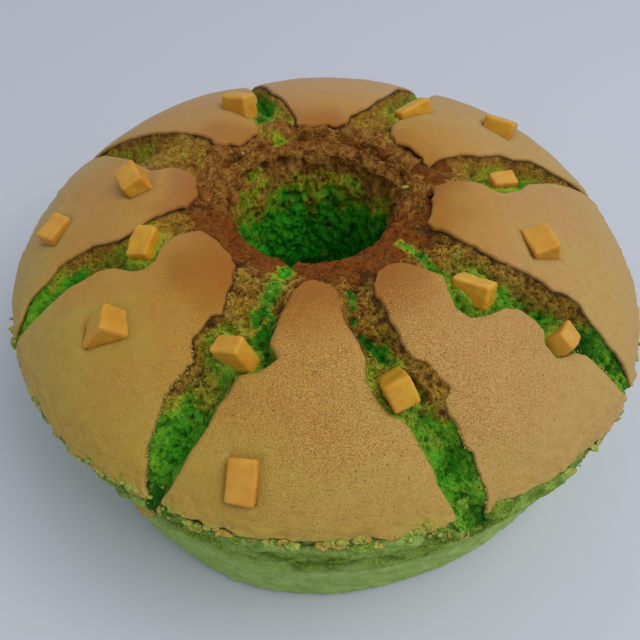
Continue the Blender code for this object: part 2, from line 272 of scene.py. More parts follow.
def looped(grid):
    """A grid that closes on itself both ways, like a ring."""
    rows, columns = grid.shape[:2]
    number = np.arange(rows * columns).reshape(rows, columns)
    right, below = np.roll(number, -1, axis=1), np.roll(number, -1, axis=0)
    corner = np.roll(right, -1, axis=0)
    return grid.reshape(-1, 3), np.stack([number, right, corner, below], axis=-1).reshape(-1, 4)


def ball(steps):
    """The surface of a cube of side 2 as a lattice, and its faces. Points that sides share are one point."""
    line = np.arange(steps + 1)
    first, second = (side.ravel() for side in np.meshgrid(line, line, indexing="ij"))
    sides = []
    for axis in range(3):
        for end in (0, steps):
            side = np.full((first.size, 3), end)
            order = (1, 2) if end else (2, 1)
            side[:, (axis + order[0]) % 3] = first
            side[:, (axis + order[1]) % 3] = second
            sides.append(side)
    lattice, index = np.unique(np.concatenate(sides), axis=0, return_inverse=True)
    grid = index.reshape(6, steps + 1, steps + 1)
    corners = [grid[:, :-1, :-1], grid[:, 1:, :-1], grid[:, 1:, 1:], grid[:, :-1, 1:]]
    return lattice * 2 / steps - 1, np.stack(corners, axis=-1).reshape(-1, 4)


def joined(parts):
    """Several closed meshes as one: the points in a row, and the faces counted on."""
    starts = np.cumsum([0, *(len(points) for points, _ in parts[:-1])])
    points = np.concatenate([points for points, _ in parts])
    return points, np.concatenate([quads + start for start, (_, quads) in zip(starts, parts)])


def normals_of(points, quads):
    """The unit normal at each point: the mean of the faces around it, by their areas."""
    cross = np.cross(points[quads[:, 2]] - points[quads[:, 0]], points[quads[:, 3]] - points[quads[:, 1]])
    total = np.zeros_like(points)
    for i in range(4):
        for axis in range(3):
            total[:, axis] += np.bincount(quads[:, i], cross[:, axis], len(points))
    return total / np.maximum(np.linalg.norm(total, axis=1), 1e-12)[:, None]


def facing_out(points, quads):
    """The faces turned so that the volume inside them is positive."""
    a, b, c, d = (points[quads[:, i]] for i in range(4))
    volume = (a * np.cross(b, c)).sum() + (a * np.cross(c, d)).sum()
    return quads if volume > 0 else quads[:, ::-1]


print("a ball of 4 steps has", len(ball(4)[0]), "points")

# %% [markdown]
# ## From arrays to an object
# Blender takes whole arrays of points and corners at once. Each object stays at the origin with its place
# in its mesh, rides on the cake's one body, and hides the CAD node whose looks it replaces.

# %% A piece of the cake


def piece(name, points, quads, finish, nodes=("cake",), slot="cake", **marks):
    """A smooth mesh object from whole arrays, with a number a point for each mark, that rides on the cake."""
    quads = facing_out(points, quads)
    mesh = bpy.data.meshes.new(name)
    mesh.vertices.add(len(points))
    mesh.vertices.foreach_set("co", points.astype(np.float32).ravel())
    mesh.loops.add(quads.size)
    mesh.loops.foreach_set("vertex_index", quads.astype(np.int32).ravel())
    mesh.polygons.add(len(quads))
    mesh.polygons.foreach_set("loop_start", np.arange(0, quads.size, 4, dtype=np.int32))
    mesh.update(calc_edges=True)
    mesh.polygons.foreach_set("use_smooth", np.ones(len(quads), bool))
    for mark, values in marks.items():
        layer = mesh.attributes.new(mark, "FLOAT", "POINT")
        layer.data.foreach_set("value", np.asarray(values, np.float32).ravel())
    mesh.materials.append(finish)
    made = bpy.data.objects.new(name, mesh)
    bpy.context.scene.collection.objects.link(made)
    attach(made, "root")
    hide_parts(*nodes)
    print(name, "has", 2 * len(quads), "triangles")
    return made


# %% [markdown]
# ## Wiring a finish
# Every finish here is procedural. It starts from the object's own coordinates, or from the marks that the
# surfaces carry. The finish that is being wired lies on the bench, and short functions add nodes to it, so
# that each line of a finish reads like a sentence.

# %% Small tools for node trees
bench = types.SimpleNamespace()


def new_finish(name):
    """A material, laid on the bench with its node tree, its shader and the object's own coordinates."""
    made = bpy.data.materials.new(name)
    made.use_nodes = True
    bench.tree = made.node_tree
    bench.place = bench.tree.nodes.new("ShaderNodeTexCoord").outputs["Object"]
    bench.shader = bench.tree.nodes["Principled BSDF"]
    return made


def wire(kind, inputs, **settings):
    """Adds a node, and sets or links its inputs, named or numbered."""
    node = bench.tree.nodes.new(kind)
    for name, value in settings.items():
        setattr(node, name, value)
    for name, value in inputs.items():
        plug(node.inputs[name], value)
    return node


def plug(socket, value):
    """Links another node's output to a socket, or sets the socket itself."""
    if isinstance(value, bpy.types.NodeSocket):
        bench.tree.links.new(value, socket)
    else:
        socket.default_value = value


def shade_with(**inputs):
    """Sets or links the shader's inputs, such as Base_Color."""
    for name, value in inputs.items():
        plug(bench.shader.inputs[name.replace("_", " ")], value)


def mark(name):
    """The number that the surface carries under this name."""
    return wire("ShaderNodeAttribute", {}, attribute_name=name).outputs["Fac"]


def cloud(size, detail=2.0, rough_share=0.5):
    """Smooth noise from 0 to 1 with features of this size."""
    inputs = {"Vector": bench.place, "Scale": 1 / size, "Detail": detail, "Roughness": rough_share}
    return wire("ShaderNodeTexNoise", inputs).outputs["Fac"]


def specks(size, radius, share):
    """1 on small round specks and 0 between them: this share of the scattered dots, out to this radius."""
    cell = wire("ShaderNodeTexVoronoi", {"Vector": bench.place, "Scale": 1 / size})
    near = between(cell.outputs["Distance"], radius / size, 0.4 * radius / size)
    return times(near, between(cell.outputs["Color"], share - 0.03, share + 0.03, 1.0, 0.0))


def strands(size, width, patch):
    """1 on thin winding threads: where one noise is near its middle and another one is high."""
    off = maths("ABSOLUTE", maths("SUBTRACT", cloud(size, 1.5), 0.5))
    return times(between(off, width, 0.3 * width), between(patch, 0.4, 0.6))


def between(value, low, high, start=0.0, end=1.0):
    """Start below low, end above high, and an S-curve between them."""
    inputs = {"Value": value, 1: low, 2: high, 3: start, 4: end}
    return wire("ShaderNodeMapRange", inputs, interpolation_type="SMOOTHSTEP").outputs["Result"]


def maths(operation, first, second=0.0):
    """One sum on two numbers."""
    return wire("ShaderNodeMath", {0: first, 1: second}, operation=operation).outputs["Value"]


def times(first, second):
    """The product of two numbers."""
    return maths("MULTIPLY", first, second)


def mixed(share, first, second):
    """Two colours blended by a share. A colour is a socket, or red, green and blue."""
    first, second = (c if isinstance(c, bpy.types.NodeSocket) else (*c, 1) for c in (first, second))
    return wire("ShaderNodeMix", {0: share, 6: first, 7: second}, data_type="RGBA").outputs[2]


def bumped(*heights):
    """Chains bumps of (height, distance in metres, strength) into the shader's normal."""
    before = {}
    for height, distance, strength in heights:
        inputs = {"Height": height, "Distance": distance, "Strength": strength, **before}
        before = {"Normal": wire("ShaderNodeBump", inputs).outputs["Normal"]}
    shade_with(**before)
    print("nodes in this finish:", len(bench.tree.nodes))


print("tools for finishes are ready")

# %% [markdown]
# ## The baked crust
# The crust is matte and tan, browner where it curls to the hole and yellower at the rim. It is full of fine
# dark pores, because the bubbles of the batter burst in the oven. Its torn lips are the darkest, where the
# thin edge dried out. To the right and behind, a painted sheen of the sky's blue lies on it. Painted shade
# darkens it beside each cheese cube, and its pale specks are partly grain and partly a painted highlight.

# %% Finish of the crust
crust = new_finish("baked_crust")
toast, edge, porous, beside = (mark(name) for name in ("toast", "edge", "porous", "beside"))
frayed, bloom = mark("frayed"), mark("bloom")
mottle = cloud(15 * MM, 3.0, 0.6)
blotch = cloud(3.5 * MM, 3.0, 0.6)
fine = cloud(0.55 * MM, 2.0, 0.7)
pinholes = specks(0.62 * MM, 0.22 * MM, 0.70)
pores = specks(2.2 * MM, 0.32 * MM, 0.35)
grain = cloud(0.42 * MM, 1.0, 0.5)
# Pale specks: partly the crust's own grain, partly a painted speckled highlight.
pale_grain_and_glints = times(between(grain, 0.54, 0.66, 0.0, 0.8), porous)
dark_grain = times(between(grain, 0.34, 0.46, 0.6, 0.0), porous)
tan = mixed(between(toast, 0.0, 0.5), (0.405, 0.272, 0.042), (0.415, 0.208, 0.031))
tan = mixed(between(mottle, 0.35, 0.7, 0.0, 0.3), tan, (0.44, 0.245, 0.042))
tan = mixed(between(toast, 0.5, 1.0), tan, (0.305, 0.102, 0.006))
# Painted sheen: the sky's blue, painted into the colour to the right and behind.
tan = mixed(bloom, tan, (0.46, 0.275, 0.160))
tan = mixed(between(blotch, 0.42, 0.7, 0.0, 0.2), tan, (0.30, 0.145, 0.016))
tan = mixed(pale_grain_and_glints, tan, (0.56, 0.34, 0.10))
tan = mixed(dark_grain, tan, (0.24, 0.115, 0.014))
tan = mixed(times(pinholes, porous), tan, (0.13, 0.055, 0.010))
tan = mixed(times(pores, between(porous, 0.0, 0.5, 0.3, 0.9)), tan, (0.13, 0.052, 0.010))
tan = mixed(times(frayed, between(blotch, 0.4, 0.55)), tan, (0.33, 0.33, 0.035))
# Painted shade in the crevice beside each cheese cube.
tan = mixed(beside, tan, (0.16, 0.075, 0.012))
lipped = mixed(between(blotch, 0.4, 0.6), (0.115, 0.050, 0.004), (0.26, 0.130, 0.020))
tan = mixed(edge, tan, lipped)
shade_with(Base_Color=tan, Roughness=between(fine, 0.3, 0.7, 0.5, 0.68), Specular_IOR_Level=0.12)
shade_with(Sheen_Weight=0.08, Sheen_Tint=(0.75, 0.85, 1.0, 1))
bumped((fine, 0.12 * MM, 0.5), (times(pores, porous), -0.25 * MM, 0.6))

# %% [markdown]
# ## The green crumb
# Under the crust the crumb is a torn green sponge. Where it met the heat it is olive and brown, and the
# deeper it lies the purer its green. The marks say how brown each place is and how deep it lies. Painted
# shade darkens its pits, gaps and hollows and the crumb under the torn lips, and painted light brightens
# its crests and the crumb at the rim of a cheese cube.

# %% Finish of the crumb
crumb = new_finish("green_crumb")
brown, deep, dark = (mark(name) for name in ("brown", "deep", "dark"))
pale, crest, crisp = (mark(name) for name in ("pale", "crest", "crisp"))
fine = cloud(0.8 * MM, 3.0, 0.7)
wide = cloud(4.5 * MM, 3.0, 0.6)
patch = cloud(3.1 * MM, 2.0, 0.6)
pits = specks(1.5 * MM, 0.42 * MM, 0.45)
gaps = times(strands(2.3 * MM, 0.045, patch), crisp)
threads = times(strands(1.5 * MM, 0.040, wide), crisp)
green = mixed(deep, (0.140, 0.33, 0.010), (0.030, 0.28, 0.007))
green = mixed(between(wide, 0.38, 0.66, 0.0, 0.7), green, (0.045, 0.30, 0.009))
green = mixed(between(patch, 0.45, 0.65, 0.0, 0.6), green, (0.010, 0.17, 0.004))
green = mixed(between(fine, 0.48, 0.72, 0.0, 0.6), green, (0.20, 0.46, 0.03))
olive = mixed(between(fine, 0.36, 0.64), (0.18, 0.170, 0.009), (0.37, 0.33, 0.024))
darkest = mixed(between(wide, 0.35, 0.65), (0.150, 0.038, 0.004), (0.200, 0.060, 0.007))
baked = mixed(between(fine, 0.38, 0.62), (0.19, 0.094, 0.007), (0.41, 0.232, 0.025))
baked = mixed(between(wide, 0.42, 0.6, 0.0, 0.65), baked, (0.24, 0.106, 0.012))
browned = maths("ADD", brown, between(wide, 0.3, 0.7, -0.15, 0.15))
colour = mixed(between(browned, 0.15, 0.45), green, olive)
colour = mixed(between(browned, 0.5, 0.85), colour, baked)
colour = mixed(between(browned, 1.15, 1.45), colour, darkest)
light = mixed(between(browned, 0.0, 0.3), (0.17, 0.46, 0.030), (0.45, 0.50, 0.050))
light = mixed(between(browned, 0.4, 0.7), light, (0.46, 0.32, 0.06))
# Painted light on the crests of the relief and on the mounds.
colour = mixed(times(crest, between(fine, 0.3, 0.6, 0.1, 0.7)), colour, light)
colour = mixed(times(threads, between(browned, 1.0, 1.4, 0.6, 0.25)), colour, light)
# Painted light on the crumb at the rim of a cheese cube.
colour = mixed(times(pale, between(fine, 0.3, 0.7, 0.4, 0.9)), colour, (0.36, 0.40, 0.03))
# Painted shade: pits, dark gaps and the painted shade mark pull the colour to this shade.
shade = mixed(between(browned, 0.2, 0.6), (0.005, 0.070, 0.003), (0.055, 0.022, 0.004))
colour = mixed(times(pits, 0.7), colour, shade)
colour = mixed(times(gaps, between(browned, 0.1, 0.5, 0.3, 0.65)), colour, shade)
colour = mixed(dark, colour, shade)
shade_with(Base_Color=colour, Roughness=0.7, Specular_IOR_Level=0.08)
bumped((fine, 0.45 * MM, 0.9), (threads, 0.35 * MM, 0.8), (gaps, -0.5 * MM, 0.8), (pits, -0.5 * MM, 0.8))

# %% [markdown]
# ## The eight cracks
# Each crack has two lips, and each lip is given by the bearing it has at some distances from the middle,
# read off the photo. The petals lie between the lips of neighbouring cracks. Tips are the petals' inner
# edges by the ring, given by their distance at some bearings.

# %% Lips of the cracks and tips of the petals
# Each crack's two lips, as distances from the middle in mm and bearings in degrees.
LIPS = {
    "front_right": (
        "42 10 45 12 51 11 58 10.5 66 12.5 71 13 77 11.5 81 12.5 87 14.5 89 16.5 92 17.5 97 18 102 19 106 19"
        " 110 20 113 20.5 115 22 118 22.7",
        "42 27 44 27 51 23.5 56 23.5 62 23 68 23 74 23.5 76 25.5 80 26.5 85 27.5 87 25 90 25 94 25.5 99 25.5"
        " 102 26 109 26 112 25.6 115 24.5 118 24.1",
    ),
    "right": (
        "42 44 48 46 52 47 56 48.5 60 45 66 42 71 43 73 46.5 75 52 78 54.5 83 55 87 54.5 89 52 94 51.5 97 56"
        " 100 57.5 106 58 112 58.5 115 60 118 60.8",
        "42 70 46 70 53 66.5 60 65.5 66 65 71 65 80 66 84 65.5 88 67 93 66.5 96 65 100 64 104 63.5 110 63"
        " 115 62.8 118 62.2",
    ),
    "back_right": (
        "42 99 44 100 50 101.5 56 100.5 60 99 62 96.5 66 95.5 73 98.5 78 102.5 91 106 98 107 105 107.5"
        " 112 108 118 108.4",
        "42 116.5 45 113.5 50 116 59 116 66 114.5 74 115.5 79 113.5 87 114.5 92 113 97 111 102 110.5 112 110"
        " 118 109.6",
    ),
    "back": (
        "42 139 44 141.5 50 146 55 146 62 147 72 147.5 82 150 92 152 102 154 112 157 118 158.4",
        "42 166.5 49 165 56 161.5 64 160.5 73 159.5 90 161 102 160 112 160 118 159.7",
    ),
    "back_left": (
        "42 190.5 46 191 53 193 63 195.5 70 198 82 198.6 92 199 102 200 112 201 118 201.4",
        "42 210.5 46 210 54 209.5 64 204 72 203.2 82 203.1 92 203 112 203 118 202.6",
    ),
    "far_left": (
        "42 231 46 233.5 53 233.5 60 235.5 71 238 83 240 92 241.5 102 243 112 244.5 118 245.4",
        "42 257 48 256.5 52 256.5 57 259 61 259.5 75 253 87 250 92 248.5 102 247.5 112 247.1 118 246.6",
    ),
    "left": (
        "42 280 56 285.5 65 289.5 70 289.5 74 289 79 287 93 287 97 288.5 107 289 111 291 118 291.9",
        "42 297.5 49 297.5 57 300 61 304 66 304.5 69 303 74 298 79 296 85 295.5 91 294.5 104 294.5 109 294"
        " 112 293.5 118 293.1",
    ),
    "front_left": (
        "42 327.5 50 331.5 58 333.5 62 334.5 64 332 69 331.5 73 330.5 77 332 79 333.5 81 333 87 331.5"
        " 92 331 103 331.5 109 332.5 112 333 114 334.3 118 334.4",
        "42 355.5 51 353 57 351 63 350 67 349.5 71 352 76 348 78 344 83 343 88 341.5 94 340.5 100 339"
        " 106 338 110 337 113 336 118 335.6",
    ),
}
# Each petal's tip, as bearings in degrees and distances from the middle in mm.
TIPS = (
    "27 46 30 43 37 42 42 43 46 46",
    "70 44 73 41.4 86 42.2 99 42.8 101 46",
    "114 46 117 45 122 45 131 45 138 44.5 142 46 146 49",
    "165 45 168 42.4 174 42.2 183 40.7 189 41.5 192 45",
    "209 44 212 42 220 40 228 40 232 43",
    "257 45 259 42 264 40.6 273 40 281 42.7 286 45.9 290 50.2",
    "297 43 300 40.8 310 38.5 322 39.6 328 42",
    "354 46.5 358 42 364 40.8 369 42.7 372 46.5",
)
TORN_SIDE = (1, 1, 1, 1, 0, 0, 0, 0)
PETALS = ("front_right", "right", "back", "far_back", "back_left", "left", "front_left", "front")
CRACKS = len(LIPS)


def lip(crack, side, run):
    """Bearing in radians of a crack's lip, with a wander of its own, more ragged on the side that tore."""
    crack, lap = crack % CRACKS, crack // CRACKS
    known, bearing = pairs(list(LIPS.values())[crack][side])
    radius = np.interp(run, RUN, STATION)
    way = np.stack([run, np.full_like(run, crack * 1.0), np.full_like(run, side * 1.0)], axis=-1)
    torn = 1.0 if TORN_SIDE[crack] == side else 0.4
    ragged = torn * MM * (0.22 * lumps(way, 4 * MM, 5) + 0.20 * lumps(way, 1.3 * MM, 6))
    return np.radians(np.interp(radius / MM, known, bearing)) + ragged / radius + 2 * np.pi * lap


print(CRACKS, "cracks and", len(TIPS), "petals")

# %% [markdown]
# ## Cheese cubes
# Fourteen cubes of cheese are baked into the crust. Each has its place, its sides, how far it rises, its
# turn and its two leans. They also hold the crust around them, which dips a little where it meets a cube.

# %% Places of the cheese
# Bearing, distance in mm, width, length and rise in mm, then turn, lean down the slope and lean across it.
CHEESE = (
    (212.5, 58.0, 7.1, 11.5, 5.5, 28, -12, 4),
    (145.1, 63.9, 6.0, 14.0, 3.1, -20, 12, -25),
    (127.6, 86.7, 11.4, 12.2, 5.0, 24, -1, -11),
    (101.6, 67.5, 6.0, 9.7, 1.5, 11, 7, 10),
    (76.8, 76.7, 9.0, 11.7, 4.2, -62, 30, 7),
    (56.5, 93.0, 10.8, 7.4, 1.6, -10, -4, -20),
    (51.0, 65.3, 7.7, 12.4, 1.5, 7, 27, -22),
    (17.2, 81.3, 8.4, 9.0, 5.6, 16, -28, 4),
    (342.4, 72.9, 9.3, 6.0, 5.8, -2, 9, 22),
    (348.5, 103.3, 8.5, 13.0, 3.0, 5, 0, 0),
    (311.9, 85.9, 9.7, 12.8, 4.7, -28, -23, 25),
    (296.6, 61.4, 11.4, 7.9, 2.4, -42, -9, -1),
    (268.8, 62.5, 8.3, 10.5, 7.0, -64, -15, -15),
    (276.5, 94.4, 10.7, 7.2, 4.5, -34, 20, -6),
)
# How golden each cube is, how strong the painted light on some tops is, and where one cube's green stain
# starts.
CHEESE_GOLD = (0.6, 0.9, 0.8, 0.2, 0.3, 0.3, 0.9, 0.8, 0.7, 0.15, 0.5, 1.0, 0.5, 0.2)
CHEESE_TOP_LIGHT = {7: 3.8, 6: 1.6, 9: 1.4}
CHEESE_GREEN_FROM = {7: 0.8 * MM}
CHEESE_ROOT = 6.5 * MM
CHEESE_ROUNDING = 1.1 * MM
CHEESE_UNEVENNESS = 0.07


def crust_frame(bearing, radius):
    """A place on the crust with its axes: X across the slope, Y down the slope, and Z out of the crust."""
    run = run_at(radius)
    along, climb = (np.interp(run, RUN, SLOPE[:, i]) for i in range(2))
    out = np.array([math.sin(bearing), -math.cos(bearing), 0])
    across = np.array([-math.cos(bearing), -math.sin(bearing), 0])
    slope = out * along + np.array([0, 0, climb])
    height = np.interp(run, RUN, LINE[:, 1])
    shift = HOLE_SHIFT * (RIM_RADIUS - radius) / (RIM_RADIUS - TIP_RADIUS)
    spot = out * radius + np.array([shift, 0, height]) + MIDDLE
    return np.stack([across, slope, np.cross(across, slope)], axis=1), spot


def cube_frame(bearing, radius, wide, long, rise, turn, down, across):
    """A cube's axes, middle and half sides: the crust's axes, leant and turned, and sunk by the root."""
    axes, spot = crust_frame(math.radians(bearing), radius * MM)
    half = (np.array([wide, long, rise]) * MM + (0, 0, CHEESE_ROOT)) / 2
    middle = spot + axes[:, 2] * (half[2] - CHEESE_ROOT)
    lean = Matrix.Rotation(math.radians(down), 3, "X") @ Matrix.Rotation(math.radians(across), 3, "Y")
    return axes @ np.array(lean @ Matrix.Rotation(math.radians(turn), 3, "Z")), middle, half


CUBES = [cube_frame(*row) for row in CHEESE]


def cheese_gap(points):
    """Distance to the side of the nearest cube, 0 inside it, and how far that side faces the front left."""
    nearest, facing = np.full(points.shape[:-1], 1.0), np.zeros(points.shape[:-1])
    for axes, middle, half in CUBES:
        away = points - middle
        beyond = np.abs(away @ axes) - half
        gap = np.linalg.norm(np.maximum(beyond, 0), axis=-1) + np.minimum(beyond.max(axis=-1), 0)
        share = (-0.5 * away[..., 0] - 0.86 * away[..., 1]) / np.maximum(np.linalg.norm(away, axis=-1), 1e-9)
        facing = np.where(gap < nearest, share, facing)
        nearest = np.minimum(nearest, gap)
    return np.maximum(nearest, 0), facing


print("first cube stands at", np.round(CUBES[0][1] / MM, 1), "mm")

# %% [markdown]
# ## Petals of crust
# A petal is a pillow about one and a half millimetres thick. Its rows run from its tip to the torn end of
# the crust, and its columns from lip to lip. The upper sheet is puffed in the middle, and rounds down to
# the lower sheet within a millimetre or two. Where a lip tore it is sharper, and scorched.

# %% Where the points of a petal lie
CRUST_THICKNESS = 1.4 * MM
TORN_ROUNDING, SOFT_ROUNDING, TIP_ROUNDING, RIM_ROUNDING = 0.7 * MM, 1.6 * MM, 1.0 * MM, 1.0 * MM
EDGE_BLEND = 0.35
SOFT_SCORCH, TIP_SCORCH, RIM_SCORCH = 0.12, 0.35, 0.05
SCORCHED = {0: 0.6, 7: 0.5}


def crowded(count, pull):
    """Shares from 0 to 1 that lie closer together near both ends."""
    even = np.linspace(0, 1, count)
    return even + pull * (-np.sin(2 * np.pi * even)) / (2 * np.pi)


def petal_grid(crack, rows=146, columns=150):
    """Places of a petal's points, and their distances to its four edges.

    along = tip + (torn end - tip) * row, bearing = own lip + (next lip - own lip) * column.
    """
    down, across = np.meshgrid(crowded(rows, 0.75), crowded(columns, 0.6), indexing="ij")
    tip_bearing, tip_radius = pairs(TIPS[crack])
    start = run_at(np.array([46 * MM]))
    first, last = lip(crack, 1, start)[0], lip(crack + 1, 0, start)[0]
    bearing = first + (last - first) * across
    tip = run_at(np.interp(np.degrees(bearing), tip_bearing, tip_radius) * MM) - 0.5 * MM
    way = np.stack([bearing * 40 * MM, 0 * bearing, 0 * bearing], axis=-1)
    far = smooth_step(-np.cos(bearing), -0.5, 0.5)
    tip = tip + (0.12 + 0.3 * far) * MM * rough(way, 3.5 * MM, 11, 2)
    end = torn_end(bearing)
    run = tip + (end - tip) * down
    own, other = lip(crack, 1, run), lip(crack + 1, 0, run)
    width = (other - own) * radius_at(run)
    gaps = np.stack([width * across, width * (1 - across), run - tip, end - run])
    return run, own + (other - own) * across, across, gaps


def petal_edge(crack, gaps):
    """How far a petal falls off to its edges, and how scorched the nearest edge is.

    fall = thickness * (1 - sqrt(1 - (1 - share)^2)), where share = distance to the edge / rounding.
    """
    following = (crack + 1) % CRACKS
    torn = np.array([TORN_SIDE[crack] == 1, TORN_SIDE[following] == 0])
    turns = np.array([*np.where(torn, TORN_ROUNDING, SOFT_ROUNDING), TIP_ROUNDING, RIM_ROUNDING])
    lips = np.array([SCORCHED.get(crack, 1.0), SCORCHED.get(following, 1.0)])
    burnt = np.array([*np.where(torn, lips, SOFT_SCORCH), TIP_SCORCH, RIM_SCORCH])
    weight = np.exp(-np.clip(gaps / turns[:, None, None], 0, 8) / EDGE_BLEND)
    share = np.clip(-EDGE_BLEND * np.log(weight.sum(axis=0)), 0, 1)
    share[[0, -1]] = 0
    share[:, [0, -1]] = 0
    fall = CRUST_THICKNESS * (1 - np.sqrt(1 - (1 - share) ** 2))
    return fall, (weight * burnt[:, None, None]).sum(axis=0) / weight.sum(axis=0)


print("a petal has", petal_grid(0)[0].size, "points on its upper sheet")

# %% [markdown]
# ## What the crust carries
# The skin swells in wide lumps, and wrinkles near the rim. Its marks say how toasted each place is, how
# full of pores, how scorched its edge, how frayed its end, how much painted shade lies beside a cheese cube,
# and how much painted sheen of the sky's blue lies on it. They all fade by distance or bearing, so that no
# border between two looks shows.

# %% Relief and marks of the crust
FRAYED = ((15, 3.4, 4.5), (322.7, 1.6, 3.5), (337, 1.5, 2.5))


def petal_skin(plain, radius):
    """Millimetres of relief: wide swells everywhere, and finer wrinkles near the rim."""
    swell = 0.26 * lumps(plain, 19 * MM, 21) + 0.09 * lumps(plain, 7 * MM, 22)
    swell = swell + 0.035 * rough(plain, 2.6 * MM, 23)
    wrinkle = 0.28 * rough(plain * (0.5, 0.5, 1.3), 3.5 * MM, 24) + 0.15 * rough(plain, 1.7 * MM, 25, 2)
    return swell + smooth_step(radius, 104 * MM, 114 * MM) * wrinkle


def toasted(plain, radius, bearing, near):
    """How brown the crust is: 1 by the hole, 0 at the rim, and paler in some directions and by the cheese."""
    frontal = smooth_step(np.cos(bearing), 0.1, 0.8)
    toast = 1 - 0.5 * smooth_step(radius - 7 * MM * frontal, 40 * MM, 70 * MM)
    toast = toast - 0.5 * smooth_step(radius, 76 * MM, 114 * MM)
    left = smooth_step(-np.sin(bearing), 0.1, 0.9) * np.clip(np.cos(bearing) + 0.4, 0, 1)
    left = left * smooth_step(radius, 70 * MM, 90 * MM)
    toast = toast + 0.10 * lumps(plain, 22 * MM, 31) - 0.14 * left + 0.06 * lumps(plain, 9 * MM, 32)
    behind = smooth_step(-np.cos(bearing), 0.0, 0.7) * (0.8 + 0.2 * smooth_step(radius, 41 * MM, 56 * MM))
    by_tip = 1 - smooth_step(radius, 48 * MM, 60 * MM)
    rightward = bell(np.degrees(bearing) - 85, 22) * (1 + 1.1 * by_tip)
    leftward = bell(np.degrees(bearing) - 312, 16) * by_tip
    return toast - 0.22 * behind - 0.14 * rightward - 0.16 * leftward - 0.3 * bell(near, 7 * MM)


def fraying(plain, bearing, to_end):
    """How green and frayed the torn end is, with three places where it frays further up."""
    frayed = bell(to_end, 1.6 * MM) * smooth_step(lumps(plain, 5 * MM, 35), -0.3, 0.5)
    for middle, breadth, height in FRAYED:
        off = (np.degrees(bearing) - middle + 180) % 360 - 180
        frayed = np.maximum(frayed, np.exp(-((off / breadth) ** 2) - (to_end / (height * MM)) ** 2))
    return frayed


def crust_marks(plain, radius, bearing, fall, scorch, to_end):
    """All the marks of the crust at these places."""
    near, facing = cheese_gap(plain)
    bloom = smooth_step(np.cos(bearing - math.radians(118)), -0.9, 0.4)
    bloom = bloom * smooth_step(radius, 42 * MM, 78 * MM)
    # Painted sheen as a weaker haze behind on the left, which also adds a little toast there.
    painted_back_haze = smooth_step(np.cos(bearing - math.radians(225)), -0.1, 0.8)
    painted_back_haze = painted_back_haze * smooth_step(radius, 38 * MM, 46 * MM)
    front = bell((np.degrees(bearing) + 180) % 360 - 180 - 16, 42)
    porous = front * bell(radius / MM - 82, 30) + 0.12 + 0.12 * lumps(plain, 12 * MM, 33)
    crumbly = 0.75 + 0.35 * lumps(plain, 3 * MM, 34) + 0.4 * lumps(plain, 1.3 * MM, 36)
    edge = scorch * smooth_step(fall / CRUST_THICKNESS, 0.35, 0.85) * crumbly
    return {
        "toast": toasted(plain, radius, bearing, near) + 0.07 * painted_back_haze,
        "edge": np.clip(edge, 0, 1),
        "porous": np.clip(porous, 0, 1),
        # Painted shade beside a cheese cube, stronger on the side that faces the front left.
        "beside": bell(near, 0.55 * MM) * (0.3 + 0.6 * smooth_step(facing, -0.2, 0.7)),
        "frayed": fraying(plain, bearing, to_end),
        "bloom": 0.36 * bloom + 0.15 * painted_back_haze,
    }


spot = on_crust(np.array([run_at(80 * MM)]), np.zeros(1), 0)
print("relief in front at 80 mm:", petal_skin(spot, np.array([80 * MM])).round(3), "mm")

# %% [markdown]
# ## Eight petals
# A petal's lift is its puff, plus a flare where the crust tore free, less the fall at its edges and the dip
# beside a cheese cube, plus the relief of its skin. The relief fades out at the edges, so that the sheets
# still meet.

# %% The eight petals
PETAL_PUFF = 1.4 * MM
CHEESE_DIP, DIP_REACH = 0.6 * MM, 1.6 * MM
FLARE_REACH = 1.8 * MM


def petal(crack):
    """Points, faces and marks of the petal that follows this crack.

    puff = height * inner share * outer share * (sin(pi * column)^0.7 - 0.35).
    """
    run, bearing, across, gaps = petal_grid(crack)
    fall, scorch = petal_edge(crack, gaps)
    radius, to_end = radius_at(run), gaps[3]
    inner = np.clip((radius - HOLE_TOP_RADIUS) / (CROWN_RADIUS - HOLE_TOP_RADIUS), 0, 1)
    outer = np.clip((116.5 * MM - radius) / (20 * MM), 0, 1)
    puff = PETAL_PUFF * inner * outer * (np.sin(np.pi * across) ** 0.7 - 0.35)
    plain = on_crust(run, bearing, puff)
    dip = CHEESE_DIP * bell(cheese_gap(plain)[0], DIP_REACH)
    skin = MM * petal_skin(plain, radius) * (1 - np.exp(-gaps.min(axis=0) / MM))
    way = np.stack([bearing * RIM_RADIUS, 0 * bearing, 0 * bearing], axis=-1)
    flare = MM * (0.2 + 0.5 * rough(way, 5 * MM, 13, 3, 0.7)) * np.exp(-to_end / FLARE_REACH)
    upper = on_crust(run, bearing, puff + flare - fall - dip + skin)
    lower = on_crust(run, bearing, puff + flare - CRUST_THICKNESS)
    return pillow(upper, lower, **crust_marks(plain, radius, bearing, fall, scorch, to_end))


for crack, name in enumerate(PETALS):
    points, quads, marks = petal(crack)
    piece(f"petal_{name}", points, quads, crust, **marks)

# %% [markdown]
# ## Crumb in the cracks
# Each crack shows a valley of torn crumb. Its walls start under the lips of the petals, so that the lips
# throw a shadow. It is shallow by the hole, deepest about three quarters of the way out, and swells up to
# close at the rim. Hollows, mounds and strips of greener crumb break it up where the photo shows them.

# %% What the photo shows in the cracks
CRACK_DEPTH = 12.5 * MM
UNDERCUT = 2.5 * MM
# For each crack, in mm from the middle: where brown, olive and the band at the lip end.
BAKED = (
    (66, 85, 92),
    (46, 60, 96),
    (60, 86, 106),
    (58, 94, 102),
    (40, 66, 100),
    (74, 116, 110),
    (58, 87, 97),
    (54, 88, 94),
)
